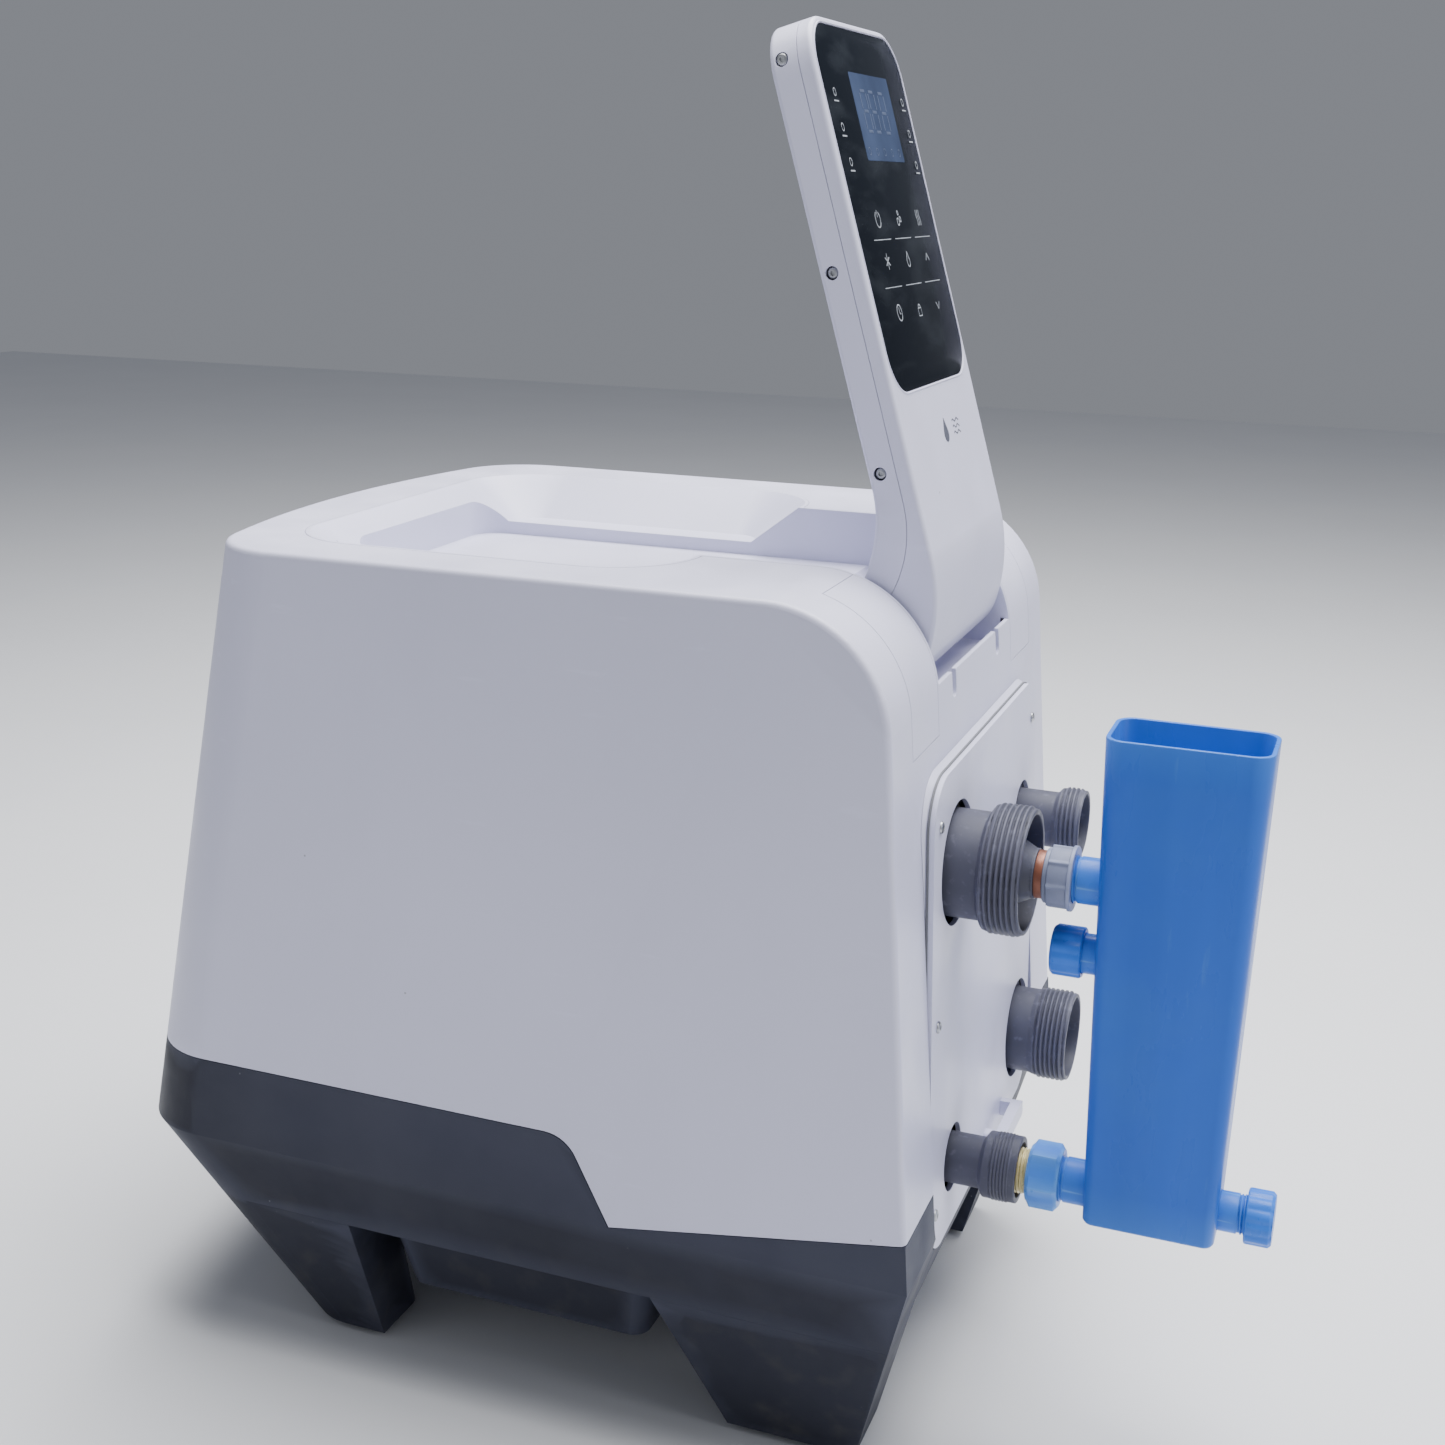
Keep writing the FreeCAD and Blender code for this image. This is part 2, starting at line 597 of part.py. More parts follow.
def base_tub():
    crease = N.crease_height
    outer = upper_envelope(0, crease).common(seam_prism(0)).fuse(undercut_volume(N.undercut_height, crease, 0))
    inner = upper_envelope(N.wall, crease).fuse(undercut_volume(N.undercut_height + N.tub_floor, crease, N.wall))
    lip_inset = N.wall + N.fit_gap
    lip = upper_envelope(lip_inset, crease).cut(upper_envelope(lip_inset + N.wall, crease - 5))
    lip = lip.common(seam_prism(N.seam_lip))
    window = side_box((240, 330), (-N.plate_half + N.plate_opening, N.plate_half - N.plate_opening),
                      (N.plate_low + 10, N.plate_high))
    tub = outer.cut(inner).fuse(lip).cut(window).cut(plate_pocket())
    return tub.cut(tail_ways(N.seal_width + N.fit_gap)).removeSplitter()


def belly_pan():
    """Drip pan under the tub: a wide middle between the legs and a narrow keel along the unit."""
    top = N.undercut_height
    low = top - N.pan_depth
    drop = N.crease_height - top
    end = -end_face_x(N.crease_height) - N.end_undercut * drop - N.pan_inset
    port = port_face_x(N.crease_height) - N.port_undercut * drop - N.pan_inset
    side = N.half_width - N.side_undercut * drop - N.pan_inset

    def volume(reach_x, reach_y, shrink):
        left, right = reach_x
        wires = []
        for height, inset, corner in ((top, shrink, 14), (low + shrink, shrink + N.pan_slope, 12)):
            y_range = (-reach_y + inset, reach_y - inset)
            wires.append(rounded_wire((left + inset, right - inset), y_range, height, corner))
        return Part.makeLoft(wires, True, True)

    wide = (-N.end_foot_inner + 6, N.port_leg_inner - 6)
    long_run = (-end + 20, port - 10)
    outer = volume(wide, side, 0).fuse(volume(long_run, N.pan_keel, 0))
    inner = volume(wide, side, N.wall).fuse(volume(long_run, N.pan_keel, N.wall))
    return outer.cut(inner).removeSplitter()


def leg(side, inner_top, inner_foot, outward, corner):
    """Leg that carries the tub's tapering faces down to its pad, hollow and open at the top."""
    top, foot = N.undercut_height, N.pad_thickness
    top_half_span = N.half_width - N.side_undercut * (N.crease_height - top)
    beyond = N.port_reach + 60

    def section(height, inset):
        share = (height - foot) / (top - foot)
        inner_x = inner_foot + (inner_top - inner_foot) * share + outward * inset
        inner_y = (N.foot_half_span - N.foot_depth) * (1 - share) + (top_half_span - N.leg_depth) * share + inset
        reach_x = sorted((inner_x, outward * beyond))
        return rounded_wire(reach_x, span(side, inner_y, beyond), height, corner - inset)

    outer = Part.makeLoft([section(foot, 0), section(top, 0)], True, True)
    inner = Part.makeLoft([section(foot + N.foot_skin, N.wall), section(top, N.wall)], True, True)
    outer = outer.common(undercut_volume(foot, top, 0))
    return outer.cut(inner.common(undercut_volume(foot + N.foot_skin, top, N.wall)))


def foot_pad(side, low_x, high_x):
    """Rubber pad under one leg, inset from its outline."""
    inset = N.pad_inset
    y = span(side, N.foot_half_span - N.foot_depth + inset, N.foot_half_span - inset)
    wires = [rounded_wire((low_x + inset, high_x - inset), y, height, N.pad_round)
             for height in (0, N.pad_thickness)]
    return Part.makeLoft(wires, True, True)


LEGS = {
    # end: (inner edge at the tub, inner edge at the foot, direction outward, pad's low and high X)
    "port": (N.port_leg_inner, N.port_foot_inner, 1, (N.port_foot_inner, N.port_foot_outer)),
    "end": (-N.end_leg_inner, -N.end_foot_inner, -1, (-N.end_foot_outer, -N.end_foot_inner)),
}


def make_housing():
    node(feature("Shell", outer_shell()), "outer_shell")
    node(feature("Tray", top_tray()), "top_tray")
    node(feature("Covers", shoulder_covers()), "shoulder_covers")
    node(feature("Intake", intake_grille()), "intake_grille")
    node(feature("Guard", fan_guard()), "fan_guard")
    node(feature("Tub", base_tub()), "base_tub")
    node(feature("Pan", belly_pan()), "belly_pan")
    for end, (inner_top, inner_foot, outward, _) in LEGS.items():
        for side, word in ((NEAR, "near"), (FAR, "far")):
            shape = leg(side, inner_top, inner_foot, outward, N.leg_round)
            node(feature(f"Leg_{end}_{word}", shape), f"leg_{end}_{word}")
    pads = [foot_pad(side, *reach) for *_, reach in LEGS.values() for side in (NEAR, FAR)]
    node(feature("Pads", Part.Compound(pads)), "foot_pads")


# ---------------------------------------------------------------- port plate and hose tails

TAILS = {
    # label: (alias stem, y, z)
    "tail_blower": ("big", S.near_y, S.big_z),
    "tail_pump": ("small", S.near_y, S.small_z),
    "tail_filter": ("filter", S.far_top_y, S.filter_z),
    "tail_drain": ("drain", S.far_low_y, S.drain_z),
}


def tail_size(stem, word):
    return getattr(S, f"{stem}_{word}")


def hose_tail(label, stem, y, z):
    """Threaded hose tail: neck through the plate, collar with thread, stepped bore."""
    root = S.tail_root
    neck, crest = tail_size(stem, "neck"), tail_size(stem, "thread")
    bore, mouth = tail_size(stem, "bore"), tail_size(stem, "mouth")
    start, end = tail_size(stem, "start") - root, tail_size(stem, "end") - root
    count = int((end.value - start.value - 3) / N.thread_pitch)
    root_radius = crest - S.thread_depth
    ridges = []
    for ridge in range(count):
        begin = start + 2.2 + ridge * S.thread_pitch
        for share, radius in ((0, root_radius), (0.3, crest), (0.6, crest), (0.9, root_radius)):
            ridges.append((begin + S.thread_pitch * share, radius))
    points = [(0, bore), (0, neck), (start - 3, neck), (start, crest), (start + 1.4, crest)] + ridges
    points += [(end, crest - S.thread_depth), (end, mouth), (start + 1, mouth), (start - 2, bore)]
    return node(turned(label, points, "x", root, y, z), label)


def tail_seal(label, stem, y, z):
    """Flexible collar that fills the gap between a tail and its hole in the shell frame."""
    neck = tail_size(stem, "neck")
    start = plate_x_at(z) - S.plate_thick - S.gasket_thick - S.frame_thick - 4
    return pipe(f"{label}_seal", "x", neck + S.seal_width, neck + 0.1, 5, start, y, z)


def tail_ways(extra):
    """Clear ways for the four hose tails, as wide as their necks and some extra."""
    ways = []
    for stem, y, z in TAILS.values():
        radius = float(tail_size(stem, "neck")) + extra
        ways.append(Part.makeCylinder(radius, 160, Vector(220, float(y), float(z)), X_AXIS))
    return ways


def port_frame():
    """Backing ring for the plate, with slanted walls where it stands out of the shell's face."""
    thick = N.plate_thick + N.gasket_thick
    flare, deep = N.frame_flare, N.frame_depth

    def section(depth, grow):
        wire = rounded_wire((-N.plate_half - grow, N.plate_half + grow),
                            (N.plate_low - N.plate_height, N.plate_high - N.plate_height + grow * 0.55),
                            0, N.plate_corner + grow)
        wire.Placement = Placement(Vector(depth, 0, 0), STANDING)
        return wire

    walls = in_plate_frame(Part.makeLoft([section(-thick - deep, flare), section(-thick, 0)], True, True))
    walls = walls.cut(upper_envelope(-0.1, N.undercut_height))
    ring = in_plate_frame(plate_slab(0, -thick - N.frame_thick, -thick))
    window = side_box((200, 330), (-N.plate_half + N.plate_opening, N.plate_half - N.plate_opening),
                      (N.plate_low + N.plate_opening * 0.5, N.plate_high - N.plate_opening))
    return walls.fuse(ring).cut(window).cut(tail_ways(N.seal_width + N.fit_gap)).removeSplitter()


def make_ports():
    node(feature("Frame", port_frame()), "port_frame")
    width, height = S.plate_half * 2, S.plate_high - S.plate_low
    holes = []
    for label, (stem, y, z) in TAILS.items():
        neck = tail_size(stem, "neck")
        holes.append(rod(f"{label}_hole", "x", neck + S.plate_hole_gap, 80, S.plate_x - 40, y, z))
    slab = on_plate(rounded_slab("PlateSlab", width, height, S.plate_thick, S.plate_corner),
                    -S.plate_half, S.plate_low, -S.plate_thick)
    node(cut("Plate", slab, holes), "port_plate")
    sheet_slab = on_plate(rounded_slab("GasketSlab", width + 2, height + 2, S.gasket_thick, S.plate_corner + 1),
                          -S.plate_half - 1, S.plate_low - 1, -S.plate_thick - S.gasket_thick)
    rim = 12
    opening = rounded_slab("GasketOpening", width - 2 * rim, height - 2 * rim, S.gasket_thick * 4,
                           S.plate_corner - rim)
    on_plate(opening, -S.plate_half + rim, S.plate_low + rim, -S.plate_thick - S.gasket_thick * 3)
    ways = []
    for label, (stem, y, z) in TAILS.items():
        radius = tail_size(stem, "neck") + S.seal_width + S.fit_gap
        ways.append(rod(f"{label}_gasket_way", "x", radius, 80, S.plate_x - 40, y, z))
    node(cut("Gasket", sheet_slab, [opening] + ways), "plate_gasket")
    inset = S.plate_half - S.screw_inset
    run = (S.plate_high - S.plate_low - S.screw_margin * 2) / 2
    head = [(0, 0), (0, S.plate_screw), (0.8, S.plate_screw), (1.9, S.plate_screw * 0.55), (1.9, 0)]
    heads = []
    for number in range(6):
        y = inset if number % 2 else -inset
        z = S.plate_low + S.screw_margin + run * (number // 2)
        heads.append(on_plate(turned(f"PlateScrew{number + 1}", head, "x", 0, 0, 0), y, z, 0.02))
    node(group("PlateScrews", heads), "plate_screws")
    bar = on_plate(rounded_slab("LedgeBar", S.ledge_length, S.ledge_rise, S.ledge_reach, 3),
                   S.ledge_y, S.ledge_z, 0.02)
    way = on_plate(rounded_slab("LedgeWay", S.ledge_length - 16, S.ledge_rise + 4, S.ledge_reach / 2, 2),
                   S.ledge_y + 8, S.ledge_z - 2, 0)
    node(cut("Ledge", bar, [way]), "plate_ledge")
    seals = []
    for label, (stem, y, z) in TAILS.items():
        hose_tail(label, stem, y, z)
        seals.append(tail_seal(label, stem, y, z))
    node(group("TailSeals", seals), "tail_seals")


# ---------------------------------------------------------------- control arm

def arm_wire(inset):
    """Side outline of the arm around its hinge axis: X is across (t), Z is along (s)."""
    front, back, knuckle = N.arm_front - inset, N.arm_back + inset, N.knuckle - inset
    top = N.arm_length - inset
    front_radius = (front ** 2 + N.front_bend ** 2 - knuckle ** 2) / (2 * (front - knuckle))
    back_radius = (back ** 2 + N.back_bend ** 2 - knuckle ** 2) / (2 * (back + knuckle))
    front_centre = Vector(front - front_radius, 0, N.front_bend)
    back_centre = Vector(back - back_radius, 0, N.back_bend)
    front_touch = front_centre * (-knuckle / front_centre.Length)
    back_touch = back_centre * (knuckle / back_centre.Length)

    def arc_middle(centre, radius, start, end):
        chord = (start + end) * 0.5 - centre
        return centre + chord * (radius / chord.Length)

    front_start, back_start = Vector(front, 0, N.front_bend), Vector(back, 0, N.back_bend)
    edges = [
        Part.LineSegment(back_start, Vector(back, 0, top)),
        Part.LineSegment(Vector(back, 0, top), Vector(front, 0, top)),
        Part.LineSegment(Vector(front, 0, top), front_start),
        Part.Arc(front_start, arc_middle(front_centre, front_radius, front_start, front_touch), front_touch),
        Part.Arc(front_touch, Vector(-knuckle * 0.25, 0, -knuckle * math.sqrt(1 - 0.25 ** 2)), back_touch),
        Part.Arc(back_touch, arc_middle(back_centre, back_radius, back_touch, back_start), back_start),
    ]
    return Part.Wire([edge.toShape() for edge in edges])


def arm_volume(inset):
    solid = prism(arm_wire(inset), N.arm_half - inset)
    top = [edge for edge in solid.Edges
           if abs(edge.CenterOfMass.z - (N.arm_length - inset)) < 0.01 and edge.BoundBox.YLength < 0.01]
    return solid.makeFillet(N.arm_corner - inset, top)


def front_side(gap):
    """Region in front of the parting line between the arm's two shells."""
    radius = 81
    top, far = N.arm_length + 20, 200
    split = N.split + gap
    centre = Vector(split - radius, 0, N.split_bend)
    swing = math.radians(52)
    foot = centre + Vector(radius * math.cos(swing), 0, -radius * math.sin(swing))
    middle = centre + Vector(radius * math.cos(swing / 2), 0, -radius * math.sin(swing / 2))
    run = Vector(-math.sin(swing), 0, -math.cos(swing)) * 90
    start = Vector(split, 0, N.split_bend)
    corners = [foot, foot + run, Vector(far, 0, -150), Vector(far, 0, top), Vector(split, 0, top), start]
    sides = [Part.LineSegment(a, b).toShape() for a, b in zip(corners, corners[1:])]
    return prism(Part.Wire([Part.Arc(start, middle, foot).toShape()] + sides), N.arm_half + 40)


def soft_edges(solid, radius):
    """Round the long outer edges of the arm's sides."""
    side = N.arm_half
    edges = [edge for edge in solid.Edges
             if abs(abs(edge.CenterOfMass.y) - side) < 0.01 and edge.BoundBox.YLength < 0.01]
    return solid.makeFillet(radius, edges)


def hinge_bosses(radius):
    bosses = []
    for side in (NEAR, FAR):
        low, high = span(side, N.arm_half - N.arm_wall - N.boss_depth, N.arm_half - N.arm_wall + 0.5)
        bosses.append(Part.makeCylinder(radius, high - low, Vector(0, low, 0), Y_AXIS))
    return bosses


def screw_spots():
    """Where the side screws sit along the arm."""
    return [(N.arm_screw_t, along) for along in (106, 233, 363)]


def through_bore(radius, t, along):
    return Part.makeCylinder(radius, 2 * N.arm_half + 20, Vector(t, -N.arm_half - 10, along), Y_AXIS)


def lean_arm(item):
    """Turn a piece that was built along the arm into its leaning place."""
    item.Placement = Placement(Vector(), Rotation(Vector(0, -1, 0), N.arm_lean))
    tie(item, "Placement.Base.x", S.hinge_x)
    tie(item, "Placement.Base.z", S.hinge_height)
    return item


def lean_at(item, across, y, along):
    """Place an object by its (t, y, s) position on the leaning arm."""
    lean = math.radians(N.arm_lean)
    item.Placement = Placement(Vector(), Rotation(Vector(0, -1, 0), N.arm_lean))
    tie(item, "Placement.Base.x", S.hinge_x + as_size(across) * math.cos(lean) - as_size(along) * math.sin(lean))
    tie(item, "Placement.Base.y", y)
    rise = as_size(across) * math.sin(lean) + as_size(along) * math.cos(lean)
    tie(item, "Placement.Base.z", S.hinge_height + rise)
    return item


def glass_pocket():
    half, grow = N.glass_half, N.glass_gap
    wire = rounded_wire((-half - grow, half + grow), (N.glass_low - grow, N.glass_high + grow), 0,
                        N.glass_corner + grow)
    wire.Placement = Placement(Vector(N.arm_front - N.glass_thick - 0.2, 0, 0), STANDING)
    return Part.Face(wire).extrude(Vector(30, 0, 0))


def make_arm():
    outer = soft_edges(arm_volume(0), N.arm_edge)
    hollow = arm_volume(N.arm_wall)
    bore = through_bore(N.bush_radius, 0, 0)
    bosses = hinge_bosses(N.boss_radius)
    skin = outer.cut(hollow)
    front = skin.fuse(bosses).common(front_side(N.split_gap)).cut(bore).cut(glass_pocket())
    lcd_half = N.lcd_width / 2
    window = side_box((N.arm_front - 12, N.arm_front + 5), (N.lcd_y - lcd_half, N.lcd_y + lcd_half),
                      (N.lcd_low, N.lcd_low + N.lcd_length))
    front = front.cut(window)
    back = skin.fuse(bosses).cut(front_side(0)).cut(bore)
    for across, along in screw_spots():
        back = back.cut(through_bore(N.arm_screw + 0.3, across, along))
    slot = side_box((-60, 60), (-12, 12), (-60, 4))
    node(lean_arm(feature("ArmFront", front)), "arm_front_shell")
    node(lean_arm(feature("ArmBack", back.cut(slot))), "arm_back_shell")
    glass = rounded_slab("Glass", S.glass_half * 2, S.glass_high - S.glass_low, S.glass_thick, S.glass_corner)
    node(lean_at(glass, S.arm_front - S.glass_thick, -S.glass_half, S.glass_low), "display_glass")
    lcd = rounded_slab("Lcd", S.lcd_width - 1, S.lcd_length - 1, S.lcd_thick, 1)
    node(lean_at(lcd, S.arm_front - S.glass_thick - S.lcd_thick - 0.3, S.lcd_y - S.lcd_width / 2 + 0.5,
                 S.lcd_low + 0.5), "lcd_module")
    board_front = S.arm_front - S.glass_thick - S.lcd_thick - 1
    board = rounded_slab("ArmBoard", S.glass_half * 2 - 16, S.glass_high - S.glass_low - 40, S.board_thick, 4)
    node(lean_at(board, board_front - S.board_thick - 0.5, -S.glass_half + 8, S.glass_low + 26), "arm_board")
    screws = [Part.makeCylinder(N.arm_screw, 9, Vector(across, side * (N.arm_half - 6.5) - 4.5, along), Y_AXIS)
              for across, along in screw_spots() for side in (NEAR, FAR)]
    node(lean_arm(feature("ArmScrews", Part.Compound(screws))), "arm_screws")
    bush_length = N.boss_depth + N.arm_wall
    bushes = []
    for side in (NEAR, FAR):
        low, high = span(side, N.arm_half - bush_length, N.arm_half + 0.6)
        ring = Part.makeCylinder(N.bush_radius - 0.02, high - low, Vector(0, low, 0), Y_AXIS)
        bushes.append(ring.cut(Part.makeCylinder(N.pin_radius + N.running, 400, Vector(0, -200, 0), Y_AXIS)))
    node(lean_arm(feature("Bushes", Part.Compound(bushes))), "hinge_bushes")
    node(rod("Pin", "y", S.pin_radius, S.pin_reach * 2, S.hinge_x, -S.pin_reach, S.hinge_height), "hinge_pin")
    brackets = []
    for side, word in ((NEAR, "near"), (FAR, "far")):
        low = S.trough_half + S.tray_skin + 1
        ends = (low, S.pin_reach - 2) if side == FAR else (2 - S.pin_reach, -low)
        ear = block(f"Ear_{word}", (S.hinge_x - 19, S.hinge_x + 14), ends,
                    (S.well_floor - 14, S.hinge_height + 15))
        hole = rod(f"EarHole_{word}", "y", S.pin_radius + 0.05, S.pin_reach * 3, S.hinge_x, -1.5 * S.pin_reach,
                   S.hinge_height)
        brackets.append(cut(f"Bracket_{word}", ear, [hole]))
    node(group("Brackets", brackets), "hinge_brackets")


# ---------------------------------------------------------------- vessel and fittings

def vessel_body():
    """Tapered rectangular tube, open at the top and closed at the foot."""
    rise = N.vessel_top - N.vessel_low

    def section(height, inset):
        share = (N.vessel_top - height) / rise
        half_x = N.vessel_long / 2 - N.vessel_taper * share - inset
        half_y = N.vessel_wide / 2 - N.vessel_side_taper * share - inset
        return rounded_wire((N.vessel_x - half_x, N.vessel_x + half_x),
                            (N.vessel_y - half_y, N.vessel_y + half_y), height, N.vessel_corner - inset)

    outer = Part.makeLoft([section(N.vessel_low, 0), section(N.vessel_top, 0)], True, True)
    room = [section(height, N.vessel_wall) for height in (N.vessel_low + N.vessel_floor, N.vessel_top)]
    inner = Part.makeLoft(room, True, True)
    return outer, inner


def stub(start, end, z, radius):
    """Short threaded pipe on the vessel's wall: its grooves stop short of the wall."""
    solid = Part.makeCylinder(radius, end - start, Vector(start, N.near_y, z), X_AXIS)
    for turn in range(int((end - start) * 0.6 / N.stub_pitch)):
        at = Vector(start + 1.5 + turn * N.stub_pitch, N.near_y, z)
        groove = Part.makeCylinder(radius + 1, N.stub_groove, at, X_AXIS)
        solid = solid.cut(groove.cut(Part.makeCylinder(radius - N.stub_depth, N.stub_groove, at, X_AXIS)))
    return solid


def vessel():
    outer, inner = vessel_body()
    left, right = N.vessel_x - N.vessel_long / 2, N.vessel_x + N.vessel_long / 2
    outlet = (right - 14, N.outlet_end - 5)
    stubs = (
        # start, end, height, radius, and where its bore starts and ends
        (N.nut_start, left + 8, N.upper_z, N.stub_radius, N.nut_start - 1, left + 20),
        (N.cap_start + 4, left + 8, N.middle_z, N.cap_stub, N.cap_start + 3, left + 20),
        (N.hex_start + 0.4, left + 14, N.lower_z, N.stub_radius, N.hex_start - 1, left + 26),
        (*outlet, N.lower_z, N.cap_stub, right - 20, N.outlet_end),
    )
    solid = outer
    for start, end, z, radius, _, _ in stubs:
        solid = solid.fuse(stub(start, end, z, radius))
    solid = solid.cut(inner)
    for _, _, z, _, start, end in stubs:
        solid = solid.cut(Part.makeCylinder(N.stub_bore, end - start, Vector(start, N.near_y, z), X_AXIS))
    return solid.removeSplitter()


def fluted(solid, radius, start, length, z):
    """Cut shallow grip flutes round a cap."""
    reach = radius + N.cap_flute
    for number in range(int(N.cap_flutes)):
        turn = 2 * math.pi * number / N.cap_flutes
        centre = Vector(start - 1, N.near_y + reach * math.cos(turn), z + reach * math.sin(turn))
        solid = solid.cut(Part.makeCylinder(N.cap_flute * 2, length + 2, centre, X_AXIS))
    return solid


def screw_cap(start, length, radius, z, opens_low):
    """Cap with grip flutes for a threaded stub, closed at its other end."""
    solid = Part.makeCylinder(radius, length, Vector(start, N.near_y, z), X_AXIS)
    solid = solid.makeFillet(N.cap_round, [edge for edge in solid.Edges if edge.Closed])
    solid = fluted(solid, radius, start, length, z)
    bore_start = start if opens_low else start + N.cap_end
    foot = Vector(bore_start, N.near_y, z)
    return solid.cut(Part.makeCylinder(N.cap_stub + N.stub_gap, length - N.cap_end, foot, X_AXIS))


def union_nut():
    """Nut with a narrower shoulder, grip ribs along it and a flange at its open end."""
    shoulder, flange = 3, 2.5
    axis_foot, end = Vector(0, N.near_y, N.upper_z), N.nut_start + N.nut_length

    def ring(radius, start, stop):
        return Part.makeCylinder(radius, stop - start, axis_foot + X_AXIS * start, X_AXIS)

    solid = ring(N.nut_radius, N.nut_start + shoulder, end).fuse(ring(N.nut_radius - 2.5, N.nut_start, end))
    solid = solid.fuse(ring(N.nut_radius + N.nut_rib, end - flange, end))
    for number in range(int(N.nut_ribs)):
        rib = side_box((N.nut_start + shoulder, end - flange / 2), (N.near_y - 1, N.near_y + 1),
                       (N.upper_z + N.nut_radius - 1, N.upper_z + N.nut_radius + N.nut_rib))
        rib.rotate(axis_foot, X_AXIS, 360 * number / N.nut_ribs)
        solid = solid.fuse(rib)
    return solid.cut(ring(N.stub_radius + N.stub_gap, N.nut_start - 1, end + 1)).removeSplitter()


def make_reducer():
    """Grey reducer in the widest tail and the ring between it and the union nut."""
    start = S.big_start + 4
    length = S.ring_start - start - 0.1
    crown = S.ring_radius + 0.8
    outer = S.big_mouth - 0.2
    section = [(0, S.ring_bore), (0, outer), (S.reducer_flange, outer), (S.reducer_flange + 2, S.reducer_root),
               (length - 2, crown), (length, crown), (length, S.ring_bore)]
    node(turned("Reducer", section, "x", start, S.near_y, S.upper_z), "reducer_cone")
    node(pipe("CopperRing", "x", S.ring_radius, S.ring_bore, S.nut_start - S.ring_start - 0.3,
              S.ring_start, S.near_y, S.upper_z), "copper_ring")


def make_nipple():
    """Threaded nipple from the lower near tail to the hexagonal nut."""
    start = S.small_start + 6
    length = S.hex_start - start
    section = [(0, S.stub_bore), (0, S.small_mouth - 0.2), (8, S.small_mouth - 0.2), (10, S.stub_radius),
               (length, S.stub_radius), (length, S.stub_bore)]
    node(turned("Nipple", section, "x", start, S.near_y, S.small_z), "brass_nipple")


def make_hex_nut():
    half = S.hex_flats / 2
    run = half * math.tan(math.radians(30))
    corner = half / math.cos(math.radians(30))
    centre = S.hex_flats
    points = [(centre - run, centre - half), (centre + run, centre - half), (centre + corner, centre),
              (centre + run, centre + half), (centre - run, centre + half), (centre - corner, centre)]
    body, _ = padded("HexBlank", points, S.hex_length, "YZ_Plane")
    put(body, S.hex_start, S.near_y - centre, S.lower_z - centre)
    hole = rod("HexHole", "x", S.stub_radius + S.stub_gap, S.hex_length + 10, S.hex_start - 5,
               S.near_y, S.lower_z)
    node(cut("HexNut", body, [hole]), "hex_nut")


def make_vessel():
    node(feature("Vessel", vessel()), "vessel")
    node(feature("UnionNut", union_nut()), "union_nut")
    make_reducer()
    make_nipple()
    make_hex_nut()
    upper = screw_cap(N.cap_start, N.cap_length, N.cap_radius, N.middle_z, False)
    node(feature("MiddleCap", upper), "middle_cap")
    side = screw_cap(N.outlet_start, N.outlet_end - N.outlet_start, N.outlet_radius, N.lower_z, True)
    node(feature("OutletCap", side), "outlet_cap")


# ---------------------------------------------------------------- works inside

def tube(points, radius, bend):
    """Round tube along straight runs joined by arcs."""
    corners = [Vector(*point) for point in points]
    edges = []
    here = corners[0]
    for before, corner, after in zip(corners, corners[1:], corners[2:]):
        arrive, leave = (corner - before).normalize(), (after - corner).normalize()
        turn = arrive.getAngle(leave)
        reach = bend * math.tan(turn / 2)
        start, end = corner - arrive * reach, corner + leave * reach
        inward = (leave - arrive).normalize()
        middle = corner + inward * (bend / math.cos(turn / 2) - bend)
        edges += [Part.LineSegment(here, start).toShape(), Part.Arc(start, middle, end).toShape()]
        here = end
    edges.append(Part.LineSegment(here, corners[-1]).toShape())
    path = Part.Wire(edges)
    circle = Part.Wire([Part.Circle(corners[0], (corners[1] - corners[0]).normalize(), radius).toShape()])
    return path.makePipeShell([circle], True, False)


def hose(points, radius, bend):
    return tube(points, radius, bend).cut(tube(points, radius - N.hose_wall, bend))


